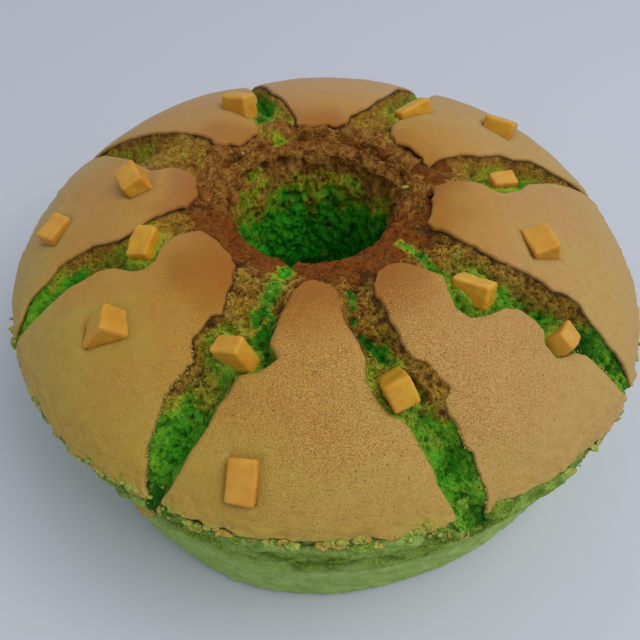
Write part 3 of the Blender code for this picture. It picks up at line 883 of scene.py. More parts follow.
# The middle line of a strip as distances and bearings, its half width, how green it is and how much painted
# shade darkens it.
STRIPS = {
    0: ("45 16.8 48 16.3 54 14.8 59.2 13.8 61 14.8 63.5 17 67.5 18.2 71 19.1 74 19.3", 1.4 * MM, 1.2, 0.5),
    1: ("36 57 45 53.7 52 51.3 57 50.5", 2.3 * MM, 1.3, 0.25),
    4: ("33 201 40 203 46 204.7 54 205 64 202.5 76 201.5", 3.4 * MM, 0.9, 0.5),
    7: ("34 348.4 48 346 56 344.9 63 346.9 70 348", 3.3 * MM, 1.05, 0.32),
}
# Hollows and mounds: bearing in degrees, distance and breadth in mm, and strength. A hollow is dug deeper
# and darkened with painted shade; a mound is raised and brightened with painted light.
HOLLOWS = (
    (61, 100, 6, 0.8),
    (292.7, 94, 4, 0.4),
    (24.2, 102, 4, 0.3),
    (23.3, 113, 3, 0.6),
    (335.3, 112, 4, 0.6),
)
MOUNDS = ((337.5, 86, 9, 1.0), (19.5, 92, 9, 1.1), (60.5, 74, 8, 0.9), (251, 68, 11, 1.0))
# How wide the brown band along a torn lip is, and its shadow, and where the ring's dark crumb gives way.
BANDS = np.array([3.0, 4.6, 3.0, 2.6, 2.6, 2.6, 2.2, 3.0]) * MM
SHADOWS = np.array([1.6, 1.1, 1.4, 0.8, 0.8, 1.7, 0.8, 0.8]) * MM
RING_FADES = {1: (42 * MM, 54 * MM), 2: (46 * MM, 60 * MM)}
BLOCK_CRACK, BLOCK_RADIUS, BLOCK_LENGTH, BLOCK_WIDTH = 0, 81 * MM, 7 * MM, 5.5 * MM
COARSE_CRACKS = (0, 1, 7)


def crack_depth(radius, points):
    """Depth of the floor below the crust: depth * sin(pi * share^1.8), half as deep beside a cheese cube."""
    share = np.clip((radius - 20 * MM) / (96.5 * MM), 0, 1)
    held = np.zeros(radius.shape)
    for _, middle, _ in CUBES:
        held = np.maximum(held, np.exp(-((points - middle) ** 2).sum(axis=-1) / (9 * MM) ** 2))
    return CRACK_DEPTH * np.sin(np.pi * share**1.8) * (1 - 0.5 * held)


def near_places(places, radius, bearing):
    """The strongest of exp(-(distance / breadth)^2) over some places (bearing, radius, breadth, strength)."""
    strongest = np.zeros(radius.shape)
    for turn, away, breadth, strength in places:
        off = radius * ((bearing - math.radians(turn) + np.pi) % (2 * np.pi) - np.pi)
        spread = (off**2 + (radius - away * MM) ** 2) / (breadth * MM) ** 2
        strongest = np.maximum(strongest, strength * np.exp(-spread))
    return strongest


def green_strip(crack, radius, bearing):
    """The strip of greener crumb: a bell of the distance to its middle line, how green and how dark it is."""
    if crack not in STRIPS:
        return np.zeros(radius.shape), 0.0, 0.0
    way, width, strength, darkness = STRIPS[crack]
    known, middle = pairs(way)
    off = radius * (bearing - np.radians(np.interp(radius / MM, known, middle)))
    ends = smooth_step(radius / MM, known[0] - 3, known[0])
    ends = ends * (1 - smooth_step(radius / MM, known[-1] - 2, known[-1] + 4))
    return bell(off, width) * ends, strength, darkness


print("cracks with a strip of greener crumb:", list(STRIPS))

# %% [markdown]
# ## Places in a valley
# A valley's rows run outwards from the hole, and its columns from under one lip to under the other. The
# crumb's colour follows from where it lies: brown near the crust and the hole, olive further out, and green
# where the crack opened late in the oven.

# %% Places in a valley, and how baked they are


def valley_grid(crack, rows=216, columns=90):
    """Places in a crack from under one lip to under the other, and their distances to both lips."""
    start, end = run_at(36 * MM), RIM_RUN + 7 * MM
    down, across = np.meshgrid(np.linspace(0, 1, rows), crowded(columns, 0.3), indexing="ij")
    run = start + (end - start) * down
    radius = radius_at(run)
    low, high = lip(crack, 0, run) - UNDERCUT / radius, lip(crack, 1, run) + UNDERCUT / radius
    ways = [(high - low) * radius * across, (high - low) * radius * (1 - across)]
    return run, radius, low + (high - low) * across, across, *(ways[::-1] if TORN_SIDE[crack] else ways)


def browning(crack, radius, plain, from_torn):
    """How baked each place is from the hole outwards, where the torn lip's band goes, and both together."""
    brown_to, olive_to, band_to = BAKED[crack]
    far = radius / MM + 3 * lumps(plain, 9 * MM, 61)
    baked = 1 - 0.5 * smooth_step(far, brown_to - 8, brown_to + 8)
    baked = baked - 0.5 * smooth_step(far, olive_to - 9, olive_to + 9)
    banded = 1 - smooth_step(far, band_to - 5, band_to + 5)
    return baked, banded, np.maximum(baked, 0.95 * bell(from_torn, BANDS[crack], 4) * banded)


def low_block(crack, radius, beside):
    """The block of crumb that stands by the torn lip of one crack: 1 on it and 0 off it."""
    if crack != BLOCK_CRACK:
        return np.zeros(radius.shape)
    return bell(radius - BLOCK_RADIUS, BLOCK_LENGTH, 4) * bell(np.maximum(beside, 0), MM)


print("points across and along a valley:", valley_grid(0)[0].shape[::-1])

# %% [markdown]
# ## Eight valleys
# The floor drops from under each lip along an S-curve. A low block in one crack, the crumb beside the
# cheese and the swollen end at the rim lift it again. The relief then adds tears, pits and grains, each
# from a noise of its own, and the marks follow the same shapes.

# %% The eight valleys
BLOCK_DROP, CHEESE_DROP, SWOLLEN_DROP = 0.5 * MM, 0.8 * MM, 0.3 * MM
GREEN_BY_CHEESE = {0: (80 * MM, 85 * MM)}


def torn_relief(crack, sunk):
    """Millimetres of tears and of grains, and how deep in a pit a place is. Coarser in the front cracks."""
    coarse = 1.0 if crack in COARSE_CRACKS else 0.6
    pits = bell(grains(sunk, 2.7 * MM, 50), 0.33)
    torn = 0.9 * rough(sunk, 6 * MM, 40 + crack, 3, 0.6) - 0.9 * pits - 0.7 * creases(sunk, 3 * MM, 53, 0.14)
    fine = 0.5 * (0.55 - grains(sunk, 1.4 * MM, 51)) + 0.25 * lumps(sunk, 0.9 * MM, 52)
    return coarse * torn, coarse * fine, coarse * pits


def valley(crack):
    """Points, faces and marks of the crumb in a crack.

    drop = thickness + (depth - thickness) * S-curves of the distances to both lips.
    """
    run, radius, bearing, across, torn_way, soft_way = valley_grid(crack)
    plain = on_crust(run, bearing, np.zeros(run.shape))
    near, _ = cheese_gap(plain)
    from_torn = np.maximum(torn_way - UNDERCUT, 0)
    baked, banded, brown = browning(crack, radius, plain, from_torn)
    block = low_block(crack, radius, torn_way - UNDERCUT - BLOCK_WIDTH)
    strip, strength, darkness = green_strip(crack, radius, bearing)
    strip = strip * smooth_step(rough(plain, 3 * MM, 62, 2), -1.8, -0.5)
    hollow, mound = (near_places(places, radius, bearing) for places in (HOLLOWS, MOUNDS))

    depth = crack_depth(radius, plain) * (1 - 0.45 * mound) + 2.5 * MM * hollow
    depth = depth - 2.2 * MM * smooth_step(brown, 0.4, 0.9) + 1.2 * MM * strip
    depth = np.maximum(depth, CRUST_THICKNESS + 0.5 * MM)
    wall = smooth_step(torn_way, 2.0 * MM, 9.0 * MM) * smooth_step(soft_way, 1.8 * MM, 6.0 * MM)
    swollen = smooth_step(run, RIM_RUN - 5 * MM, RIM_RUN + 1 * MM)
    swollen = swollen * (1 - smooth_step(run, RIM_RUN + 3 * MM, RIM_RUN + 7 * MM))
    drop = CRUST_THICKNESS + 0.3 * MM + (depth - CRUST_THICKNESS) * wall
    drop = drop + (BLOCK_DROP - drop) * block
    drop = drop + (CHEESE_DROP - drop) * (0.8 * bell(near, 3 * MM))
    drop = drop + (SWOLLEN_DROP - drop) * 0.9 * swollen
    torn, fine, pits = torn_relief(crack, on_crust(run, bearing, -drop))
    upper = on_crust(run, bearing, -drop + (torn * (0.3 + 0.7 * wall) + fine) * MM)
    lower = on_crust(run, bearing, -depth - 6 * MM * np.sin(np.pi * across) ** 0.5)

    greened = bell(near, 4.5 * MM) * smooth_step(radius, *GREEN_BY_CHEESE.get(crack, (54 * MM, 62 * MM)))
    uneven_brown = 0.22 * rough(plain, 5 * MM, 60, 3) * (0.35 + 0.65 * baked)
    brown = brown * (1 - 0.8 * greened) + uneven_brown - strength * strip
    by_ring = 1 - smooth_step(radius, *RING_FADES.get(crack, (38 * MM, 45 * MM)))
    brown = np.maximum(brown, block) + 0.6 * by_ring * (1 - strip) + 0.18 * mound * (1 - baked)
    uneven = 0.45 + 0.55 * smooth_step(rough(plain, 2.4 * MM, 64, 2), -0.8, 0.4)
    shaded = bell(from_torn, SHADOWS[crack]) * (0.35 + 0.5 * banded) * uneven
    # Painted shade in the low places of the relief.
    low = (0.55 - 0.25 * mound) * smooth_step(-torn - fine, 0.3, 1.5)
    # Painted light on the crests of the relief, stronger on the mounds.
    crest = np.clip(smooth_step(torn + fine, 0.1, 1.3) + 0.5 * mound, 0, 1)
    marks = {
        "brown": np.clip(brown, 0, 1.6),
        "deep": np.clip(smooth_step(drop, 2 * MM, 9 * MM) + 0.3 * strip, 0, 1),
        # Painted shade: pits, low places, hollows, the shadow under the torn lip and the strips.
        "dark": np.clip(0.6 * pits + low + hollow + shaded * (1 - block) + darkness * strip, 0, 0.9),
        "pale": bell(near, 2.6 * MM),
        "crest": crest * (1 - 0.8 * hollow),
        "crisp": np.full(run.shape, 1.0 if crack in COARSE_CRACKS else 0.45),
    }
    return pillow(upper, lower, **marks)


for crack, name in enumerate(LIPS):
    points, quads, marks = valley(crack)
    piece(f"crumb_{name}", points, quads, crumb, **marks)

# %% [markdown]
# ## The ring and the tube hole
# Round the hole the crust tore into a ring of dark granular crumb, and the tube left a rough wall that goes
# from brown to deep green. Its baked crumb is darker in front and lighter on the far side, where a few
# specks glint. Painted shade darkens the pits of the ring and the wall, and the ring's folds.

# %% Finish of the ring and the wall
wall_finish = new_finish("tube_wall")
brown, deep, dark, far = (mark(name) for name in ("brown", "deep", "dark", "far"))
fine = cloud(0.8 * MM, 3.0, 0.7)
wide = cloud(3.5 * MM, 3.0, 0.6)
patch = cloud(3.0 * MM, 2.0, 0.6)
pits = specks(1.7 * MM, 0.5 * MM, 0.5)
glints = specks(3.8 * MM, 0.65 * MM, 0.14)
gaps = strands(2.2 * MM, 0.045, patch)
threads = strands(1.6 * MM, 0.040, wide)
green = mixed(deep, (0.060, 0.34, 0.012), (0.008, 0.42, 0.009))
green = mixed(between(wide, 0.4, 0.65, 0.0, 0.55), green, (0.006, 0.25, 0.006))
green = mixed(between(fine, 0.5, 0.8, 0.0, 0.4), green, (0.07, 0.55, 0.03))
olive = mixed(between(fine, 0.38, 0.62), (0.19, 0.190, 0.007), (0.36, 0.35, 0.016))
near_baked = mixed(between(wide, 0.35, 0.65), (0.160, 0.036, 0.002), (0.215, 0.062, 0.005))
far_baked = mixed(between(wide, 0.40, 0.60), (0.130, 0.042, 0.004), (0.37, 0.175, 0.030))
far_baked = mixed(between(fine, 0.35, 0.65, 0.0, 0.5), far_baked, (0.36, 0.175, 0.035))
baked = mixed(times(far, between(patch, 0.35, 0.6, 0.45, 1.0)), near_baked, far_baked)
baked = mixed(between(fine, 0.52, 0.76, 0.0, 0.4), baked, (0.34, 0.14, 0.025))
baked = mixed(between(fine, 0.24, 0.46, 0.55, 0.0), baked, (0.075, 0.018, 0.002))
browned = maths("ADD", brown, between(wide, 0.3, 0.7, -0.18, 0.18))
colour = mixed(between(browned, 0.12, 0.4), green, olive)
colour = mixed(between(browned, 0.45, 0.8), colour, baked)
light = mixed(between(browned, 0.2, 0.7), (0.07, 0.48, 0.025), (0.42, 0.23, 0.05))
colour = mixed(times(threads, between(far, 0.0, 1.0, 0.15, 0.3)), colour, light)
# Painted shade: pits, dark gaps and the painted shade mark pull the colour to this shade.
shade = mixed(between(browned, 0.2, 0.6), (0.003, 0.050, 0.002), (0.040, 0.011, 0.002))
colour = mixed(times(pits, 0.7), colour, shade)
colour = mixed(times(gaps, between(far, 0.0, 1.0, 0.35, 0.45)), colour, shade)
colour = mixed(dark, colour, shade)
glinting = times(times(glints, far), brown)
colour = mixed(times(glinting, 0.7), colour, (0.62, 0.50, 0.36))
shade_with(Base_Color=colour)
shade_with(Roughness=between(glinting, 0.0, 1.0, 0.65, 0.25))
shade_with(Specular_IOR_Level=0.09)
bumped((fine, 0.35 * MM, 0.8), (threads, 0.3 * MM, 0.7), (gaps, -0.4 * MM, 0.8), (pits, -0.5 * MM, 0.8))

# %% [markdown]
# ## The outline of the hole
# One outline, from under the petals over the ring, down the wall, and back up inside the cake, is carried
# round the hole. The hole leans: its top lies further off the middle than its foot.

# %% The outline of the ring and the hole
HOLE_COLUMNS = 400


def outline(*corners, step):
    """Points along straight lines through the corners, evenly spaced on each line."""
    parts = []
    for start, end in zip(corners, corners[1:]):
        count = max(2, round(math.dist(start, end) / step))
        parts.append(np.linspace(start, end, count, endpoint=False))
    return np.concatenate([*parts, [corners[-1]]])


def directions(columns):
    """Evenly spaced bearings right round."""
    return np.linspace(0, 2 * np.pi, columns, endpoint=False)


def carried_round(line, columns, shift):
    """The outline carried round: point = (radius * sin + shift(height), -radius * cos, height)."""
    bearing = directions(columns)[None]
    radius, height = line[:, :1], line[:, 1:]
    far = radius + 0 * bearing
    across = far * np.sin(bearing) + shift(height)
    return np.stack([across, -far * np.cos(bearing), height + 0 * bearing], axis=-1)


def hole_shift(height):
    """How far off the middle the hole lies at this height."""
    return HOLE_BASE_SHIFT + (HOLE_SHIFT - HOLE_BASE_SHIFT) * np.clip(height / HOLE_TOP_HEIGHT, 0, 1)


under_petals = ((54 * MM, 92 * MM), (48 * MM, 94.6 * MM), (43 * MM, 95.4 * MM), (39.8 * MM, 95.7 * MM))
ring_line = np.concatenate(
    [
        outline(*under_petals, step=0.6 * MM),
        outline((39.3 * MM, 95.7 * MM), (34 * MM, 94.9 * MM), (29 * MM, 93.2 * MM), step=0.45 * MM),
        outline((28.2 * MM, 92.7 * MM), (27.6 * MM, 91.7 * MM), (27.6 * MM, 90.5 * MM), step=0.4 * MM),
        outline((27.65 * MM, 90 * MM), (30.9 * MM, 24 * MM), step=0.55 * MM),
        outline((30.95 * MM, 23 * MM), (32 * MM, 2 * MM), (34 * MM, 0), step=1.5 * MM),
        outline((36 * MM, 1 * MM), (44 * MM, 60 * MM), (50 * MM, 86 * MM), step=5 * MM),
    ]
)
points, quads = looped(carried_round(ring_line, HOLE_COLUMNS, hole_shift) + MIDDLE)
quads = facing_out(points, quads)
normals = normals_of(points, quads)
radius, height = np.repeat(ring_line, HOLE_COLUMNS, axis=0).T
around = np.tile(directions(HOLE_COLUMNS), len(ring_line))
print("the outline has", len(ring_line), "points")

# %% [markdown]
# ## Relief of the ring and the wall
# The ring has pits, and folds on its far side. The wall is drawn out upwards, as the cake rose along the
# tube. A notch goes over the ring in front, where the front left crack meets the hole, and on the far side
# the wall opens like a funnel.

# %% The ring and the hole
NOTCH_BEARING, NOTCH_BREADTH, NOTCH_DEPTH = 348.4, 2.6, 2.2 * MM
FUNNEL_WIDTH = 4.4 * MM
far = smooth_step(-np.cos(around), -0.45, 0.35)
on_ring = smooth_step(height, 89 * MM, 93 * MM)
shown = smooth_step(44 * MM - radius, -6 * MM, 0) * smooth_step(height, 0, 6 * MM)
drawn_out = points * (1.5, 1.5, 0.8)
ring_pits = bell(grains(points, 2.9 * MM, 76), 0.24)
spread = np.stack([around * 32 * MM, 0.5 * radius + 0.2 * height, 0 * radius], axis=1)
folds = creases(spread, 7 * MM, 77, 0.11) * smooth_step(lumps(spread, 9 * MM, 78), -0.5, 0.3) * far
ring_relief = (0.42 + 0.68 * far) * rough(points, 4.5 * MM, 70, 4, 0.65) - 0.7 * ring_pits - 1.2 * folds
wall_pits = bell(grains(drawn_out, 3.4 * MM, 73), 0.36)
wall_relief = 1.0 * rough(drawn_out, 6.5 * MM, 72, 3, 0.65) - 0.9 * wall_pits
fine = 0.45 * (0.55 - grains(points, 1.5 * MM, 74)) * (0.3 + 0.7 * np.maximum(far, 1 - on_ring))
notch = bell(np.degrees(around) - NOTCH_BEARING, NOTCH_BREADTH) * smooth_step(height, 84 * MM, 92 * MM)
notch = notch * smooth_step(40 * MM - radius, 0, 4 * MM)
raised = 1.4 * far * smooth_step(radius, 35 * MM, 40 * MM) * on_ring
relief = (ring_relief * on_ring + wall_relief * (1 - on_ring) + fine) * shown * MM
relief = relief - NOTCH_DEPTH * notch + raised * MM
points = points + normals * relief[:, None]
funnel = FUNNEL_WIDTH * far * smooth_step(height, 70 * MM, 93 * MM)
funnel = funnel * (1 - smooth_step(radius, 30 * MM, 40 * MM)) * shown
points = points + np.stack([np.sin(around), -np.cos(around), 0 * around], axis=1) * funnel[:, None]
brown = smooth_step(height, 63 * MM, 95 * MM) + 0.1 * on_ring
brown = brown + 0.22 * rough(points, 7 * MM, 75, 3) - 1.2 * notch
for crack in STRIPS:
    strip, strength, _ = green_strip(crack, radius, around)
    brown = brown - 0.7 * strength * strip * on_ring
deep = 1 - smooth_step(height, 30 * MM, 76 * MM)
# Painted shade in the pits of the ring and the wall, and in the ring's folds.
dark = 0.75 * (ring_pits * on_ring + wall_pits * (1 - on_ring)) + 0.7 * folds * on_ring
marks = {"brown": np.clip(brown, 0, 1), "deep": deep, "dark": np.clip(dark, 0, 0.9), "far": far}
piece("ring_and_hole", points, quads, wall_finish, **marks)

# %% [markdown]
# ## The side
# The side stood against the tin, so it is straight and has no crust. It is pale green and fuzzy, and torn
# into level wrinkles just under the rim, where the cake pulled away from the tin. Torn crumb there is a
# darker green, deepened by painted shade under the crust's edge, and painted shade lies in its creases.

# %% Finish of the side
side_finish = new_finish("pale_side")
torn_and_shaded_mark, crease_mark = mark("torn"), mark("crease")
fine = cloud(0.9 * MM, 3.0, 0.75)
wide = cloud(6 * MM, 3.0, 0.6)
pits = specks(2.2 * MM, 0.4 * MM, 0.45)
green = mixed(between(wide, 0.35, 0.65), (0.24, 0.38, 0.080), (0.33, 0.465, 0.130))
green = mixed(between(fine, 0.42, 0.72, 0.0, 0.5), green, (0.40, 0.52, 0.17))
# Torn crumb under the rim: darker green, partly its own colour and partly painted shade under the crust's
# edge.
torn_and_shaded_green = mixed(between(fine, 0.4, 0.6), (0.095, 0.175, 0.015), (0.27, 0.37, 0.050))
green = mixed(torn_and_shaded_mark, green, torn_and_shaded_green)
# Painted shade in the level creases and just below the crust's torn end.
green = mixed(crease_mark, green, (0.045, 0.100, 0.007))
green = mixed(times(pits, 0.4), green, (0.10, 0.19, 0.02))
shade_with(Base_Color=green)
shade_with(Roughness=0.85)
shade_with(Specular_IOR_Level=0.1)
bumped((fine, 0.35 * MM, 0.8), (pits, -0.3 * MM, 0.6))

# %% [markdown]
# ## The outline of the side
# The side goes up past the rim and ends under the crust. In front it shows above the rim, wherever the
# crust tore off early. In the mouth of a crack it stays below the valley's crumb, so that the two don't
# meet. Then it runs down the tin's side, over the foot, and back up inside the cake.

# %% The side and where its crumb is bared
SIDE_COLUMNS = 740
SUNK_LIFT, BARED_RISE, CRACK_SINK = -2.4, 2.1, 1.6
neck = (NECK_RADIUS - 0.1 * MM, NECK_HEIGHT - 0.6 * MM)
side_line = np.concatenate(
    [
        outline(neck, (BASE_RADIUS, BASE_ROUNDING), step=0.62 * MM),
        outline((BASE_RADIUS - 1 * MM, 1.2 * MM), (BASE_RADIUS - BASE_ROUNDING, 0), step=1 * MM),
        outline((90 * MM, 0), (34 * MM, 0), step=14 * MM),
        outline((36 * MM, 4 * MM), (92 * MM, 6 * MM), (98 * MM, 50 * MM), step=14 * MM),
    ]
)
bearing = directions(SIDE_COLUMNS)[None]
neck_run = RUN[LINE[:, 1] < NECK_HEIGHT].min()
rim_run = np.arange(RIM_RUN - 9 * MM, neck_run, 0.7 * MM)[:, None] + 0 * bearing
in_crack = np.zeros(rim_run.shape)
for crack in range(CRACKS):
    low, high = (lip(crack, side, rim_run[:, 0])[:, None] for side in (0, 1))
    after, before = (bearing - low) * RIM_RADIUS, (high - bearing) * RIM_RADIUS
    inside = smooth_step(after, -2.5 * MM, -0.8 * MM) * smooth_step(before, -2.5 * MM, -0.8 * MM)
    in_crack = np.maximum(in_crack, inside)
crust_end = torn_end(bearing)
crust_end = crust_end + np.maximum(RIM_RUN + 2.5 * MM - crust_end, 0) * in_crack
past_crust = rim_run - crust_end
bared = smooth_step(past_crust, -1.6 * MM, 0.8 * MM)
lift = (SUNK_LIFT + BARED_RISE * bared - CRACK_SINK * in_crack * (1 - bared)) * MM
rim_grid = on_crust(rim_run, bearing, lift)
side_grid = stand(side_line[:, :1] + 0 * bearing, side_line[:, 1:] + 0 * bearing, bearing, 0)
rim_line = np.stack([np.interp(rim_run[:, 0], RUN, LINE[:, i]) for i in range(2)], axis=1)
points, quads = looped(np.concatenate([rim_grid, side_grid]))
quads = facing_out(points, quads)
normals = normals_of(points, quads)
radius, height = np.repeat(np.concatenate([rim_line, side_line]), SIDE_COLUMNS, axis=0).T
print("crumb is bared on", round(100 * bared.mean()), "% of the rim's grid")

# %% [markdown]
# ## Relief of the side
# The noise is stretched along the rim, so that wrinkles and creases run level, as the tin dragged them. The
# fuzz is everywhere, and a little rougher at the foot. Where the crust lies over the side there is hardly
# any relief.

# %% The side and the base
bare = np.concatenate([bared, 1 + 0 * side_grid[..., 0]]).ravel()
# Painted shade just below the crust's torn end.
shade_below_crust = np.concatenate([bell(past_crust - 0.8 * MM, 1.1 * MM), 0 * side_grid[..., 0]]).ravel()
outside = smooth_step(radius, 99 * MM, 101 * MM) * smooth_step(height, 0, 3 * MM)
torn = smooth_step(height, 29 * MM, 41 * MM)
level = points * (0.22, 0.22, 1.0)
lines = creases(level, 3.6 * MM, 83, 0.16) * smooth_step(height, 26 * MM, 38 * MM)
wrinkles = 0.9 * rough(points * (0.45, 0.45, 1.5), 7 * MM, 80, 3, 0.6)
fuzz = 0.3 * rough(points, 3.2 * MM, 81, 3, 0.65) - 0.3 * bell(grains(points, 2.6 * MM, 82), 0.3)
foot = 1 - smooth_step(height, 2 * MM, 9 * MM)
relief = (0.2 + 1.0 * torn) * wrinkles + fuzz * (1 + 0.4 * foot) - 1.1 * lines
relief = relief * outside * (0.1 + 0.9 * bare) * MM
points = points + normals * relief[:, None]
patches = smooth_step(rough(points, 12 * MM, 84, 2), -0.4, 0.6)
# Share of the torn crumb's darker green, with its painted shade, in patches.
torn_and_shaded_share = torn * (0.55 + 0.45 * patches)
shade_below_crust = shade_below_crust * smooth_step(rough(points, 3 * MM, 85, 2), -0.9, 0.5)
creased = np.clip(np.maximum(0.8 * lines, 0.8 * shade_below_crust), 0, 1)
piece("side_wall", points, quads, side_finish, torn=np.clip(torn_and_shaded_share, 0, 1), crease=creased)

# %% [markdown]
# ## Crumbs and flakes
# Where the cake was pulled from its tin, the thin edge of the crust broke into crumbs and curled flakes that
# still hang on it. A crumb is a small ball with uneven points, and they sit in clusters. A flake is a thin
# pillow, bent outwards. The ones that are placed at random keep out of the open mouths of the cracks, where
# nothing would hold them.

# %% Finish of the crumbs
bits_finish = new_finish("torn_crumbs")
tone = mark("tone")
fine = cloud(0.7 * MM, 2.0, 0.7)
wide = cloud(2.5 * MM, 2.0, 0.6)
brownish = mixed(between(fine, 0.35, 0.65), (0.31, 0.205, 0.030), (0.47, 0.34, 0.080))
greenish = mixed(between(fine, 0.35, 0.65), (0.16, 0.24, 0.024), (0.39, 0.44, 0.095))
toned = maths("ADD", tone, between(wide, 0.3, 0.7, -0.25, 0.25))
colour = mixed(between(toned, 0.3, 0.7), brownish, greenish)
colour = mixed(specks(1.2 * MM, 0.35 * MM, 0.4), colour, (0.17, 0.12, 0.015))
shade_with(Base_Color=colour)
shade_with(Roughness=0.8)
shade_with(Specular_IOR_Level=0.1)
bumped((fine, 0.3 * MM, 0.8))

# %% [markdown]
# ## Where the crumbs hang
# The clusters in front stand where the photo shows them, and the ones round the sides and the back are drawn
# at random. A few larger crumbs hang singly by the left and right cracks, one lies on the ring, and fine ones
# cling to three of the lips.

# %% Places and shapes of the crumbs
# Bearing and weight of a cluster.
CLUSTERS = (
    (306, 1.3), (312, 1.5), (318, 1.2), (322.7, 2.2), (329, 1.6), (337.5, 2.0), (344.4, 1.4), (349.7, 1.6),
    (355.1, 1.2), (1.7, 1.5), (6, 1.2), (11.8, 1.8), (15, 2.2), (18, 1.8),
)
# Bearing, size in mm, and how far past the rim in mm.
HANGING = (
    (285.9, 1.2, 1), (288.2, 1.5, 1.5), (289.6, 1.2, 3), (290.6, 1.9, 3), (291.5, 1.4, 1), (292.6, 1.2, 3.5),
    (56.8, 1.5, 4), (58.0, 1.2, 3), (73.2, 1.2, 1), (70.3, 1.4, 3), (54.7, 1.2, 6), (55.8, 0.9, 5),
)
# Distance from the middle, bearing and size.
RING_CRUMB = (34.1, 104.3, 1.5)
# The lips that crumbs cling to: crack, side, first and last distance from the middle, and how many.
CLINGING = ((7, 0, 72, 113, 60), (0, 1, 94, 114, 24), (1, 0, 96, 114, 20))
IN_FRONT, ANYWHERE, STREWN, BACK_CLUSTERS = 130, 170, 160, 40
CLUSTERED = IN_FRONT + ANYWHERE
HANGING_TONE, RING_TONE = 0.7, 1.4


def in_open_crack(run, bearing, margin):
    """True where a place lies between the two lips of a crack, or nearer than the margin to them."""
    turn = bearing % (2 * np.pi)
    inside = np.zeros(bearing.shape, bool)
    for crack in range(8):
        low, high = (lip(crack, side, run) for side in (0, 1))
        inside |= (turn > low - margin / RIM_RADIUS) & (turn < high + margin / RIM_RADIUS)
    return inside


def crumbs(run, bearing, lift, size, seed):
    """Uneven little balls: point = place + direction * size * stretch * (1 + a random share up to 0.4)."""
    shape, quads = ball(2)
    shape = shape / np.linalg.norm(shape, axis=1)[:, None]
    draw = np.random.default_rng(seed)
    stretch = draw.uniform(0.5, 1.25, (len(run), 1, 3))
    uneven = 1 + draw.uniform(-0.4, 0.4, (len(run), len(shape), 1))
    spots = on_crust(run, bearing, lift)[:, None]
    points = spots + shape * size[:, None, None] * stretch * uneven
    faces = quads + len(shape) * np.arange(len(run))[:, None, None]
    return points.reshape(-1, 3), faces.reshape(-1, 4)


print("a crumb has", len(ball(2)[0]), "points")

# %% [markdown]
# ## Crumbs
# Each kind of crumb is drawn as whole arrays: bearings, distances past the torn end, sizes and tones. Small
# ones are far more common than large ones, so the random share is squared.

# %% Crumbs
draw = np.random.default_rng(41)
middles = [bearing for bearing, _ in CLUSTERS]
middles = np.radians(np.concatenate([middles, draw.uniform(20, 304, BACK_CLUSTERS)]))
weights = np.concatenate([[weight for _, weight in CLUSTERS], draw.uniform(0.6, 1.3, BACK_CLUSTERS)])
which = [draw.integers(0, len(CLUSTERS), IN_FRONT), draw.integers(0, len(middles), ANYWHERE)]
which = np.concatenate(which)
bearing = middles[which] + draw.normal(0, 2.2, CLUSTERED) * weights[which] * MM / RIM_RADIUS
run = torn_end(bearing) + MM * (0.4 + draw.normal(0, 1.0, CLUSTERED))
size = MM * (0.3 + 0.75 * weights[which] * draw.uniform(0, 1, CLUSTERED) ** 2)
lift = MM * draw.uniform(-0.8, 0.1, CLUSTERED)
tone = draw.uniform(0.1, 0.9, CLUSTERED) + 0.4 * bell(np.degrees(bearing) - 330, 8)
held = ~in_open_crack(run, bearing, -0.4 * MM)
parts, tones = [crumbs(run[held], bearing[held], lift[held], size[held], 42)], [tone[held]]

turns, sizes, past = np.array(HANGING).T
parts.append(crumbs(RIM_RUN + past * MM, np.radians(turns), 0.8 * MM + 0 * turns, sizes * MM, 43))
tones.append(np.full(len(turns), HANGING_TONE))

around = draw.uniform(0, 2 * np.pi, STREWN)
run = torn_end(around) + MM * (0.8 + draw.normal(0, 1.2, STREWN))
held = ~in_open_crack(run, around, 0)
count = held.sum()
lift, size = MM * draw.uniform(-0.5, 0.3, count), MM * draw.uniform(0.2, 0.6, count)
parts.append(crumbs(run[held], around[held], lift, size, 44))
tones.append(draw.uniform(0, 0.9, count))

for crack, side, first, last, count in CLINGING:
    run = run_at(draw.uniform(first, last, count) * MM)
    bearing = lip(crack, side, run) + draw.normal(0, 0.3, count) * MM / radius_at(run)
    lift, size = MM * draw.uniform(-1.3, -0.2, count), MM * draw.uniform(0.2, 0.5, count)
    parts.append(crumbs(run, bearing, lift, size, 45 + crack))
    tones.append(draw.uniform(-0.4, 0.3, count))

ring_radius, ring_bearing, ring_size = np.array(RING_CRUMB)[:, None]
parts.append(crumbs(run_at(ring_radius * MM), np.radians(ring_bearing), np.zeros(1), ring_size * MM, 60))
tones.append([RING_TONE])
points, quads = joined(parts)
tones = np.concatenate(tones)
piece("rim_crumbs", points, quads, bits_finish, tone=np.repeat(tones, len(ball(2)[0])))
print("there are", len(tones), "crumbs")

# %% [markdown]
# ## Flakes
# A flake is a leaf between two points, widest in its middle. It leans out and curls, and its surface is a
# little wavy. The largest one hangs in front on the left, and the others are drawn at random past the torn
# end.

# %% Flakes
FLAKE_THICKNESS = 0.7 * MM


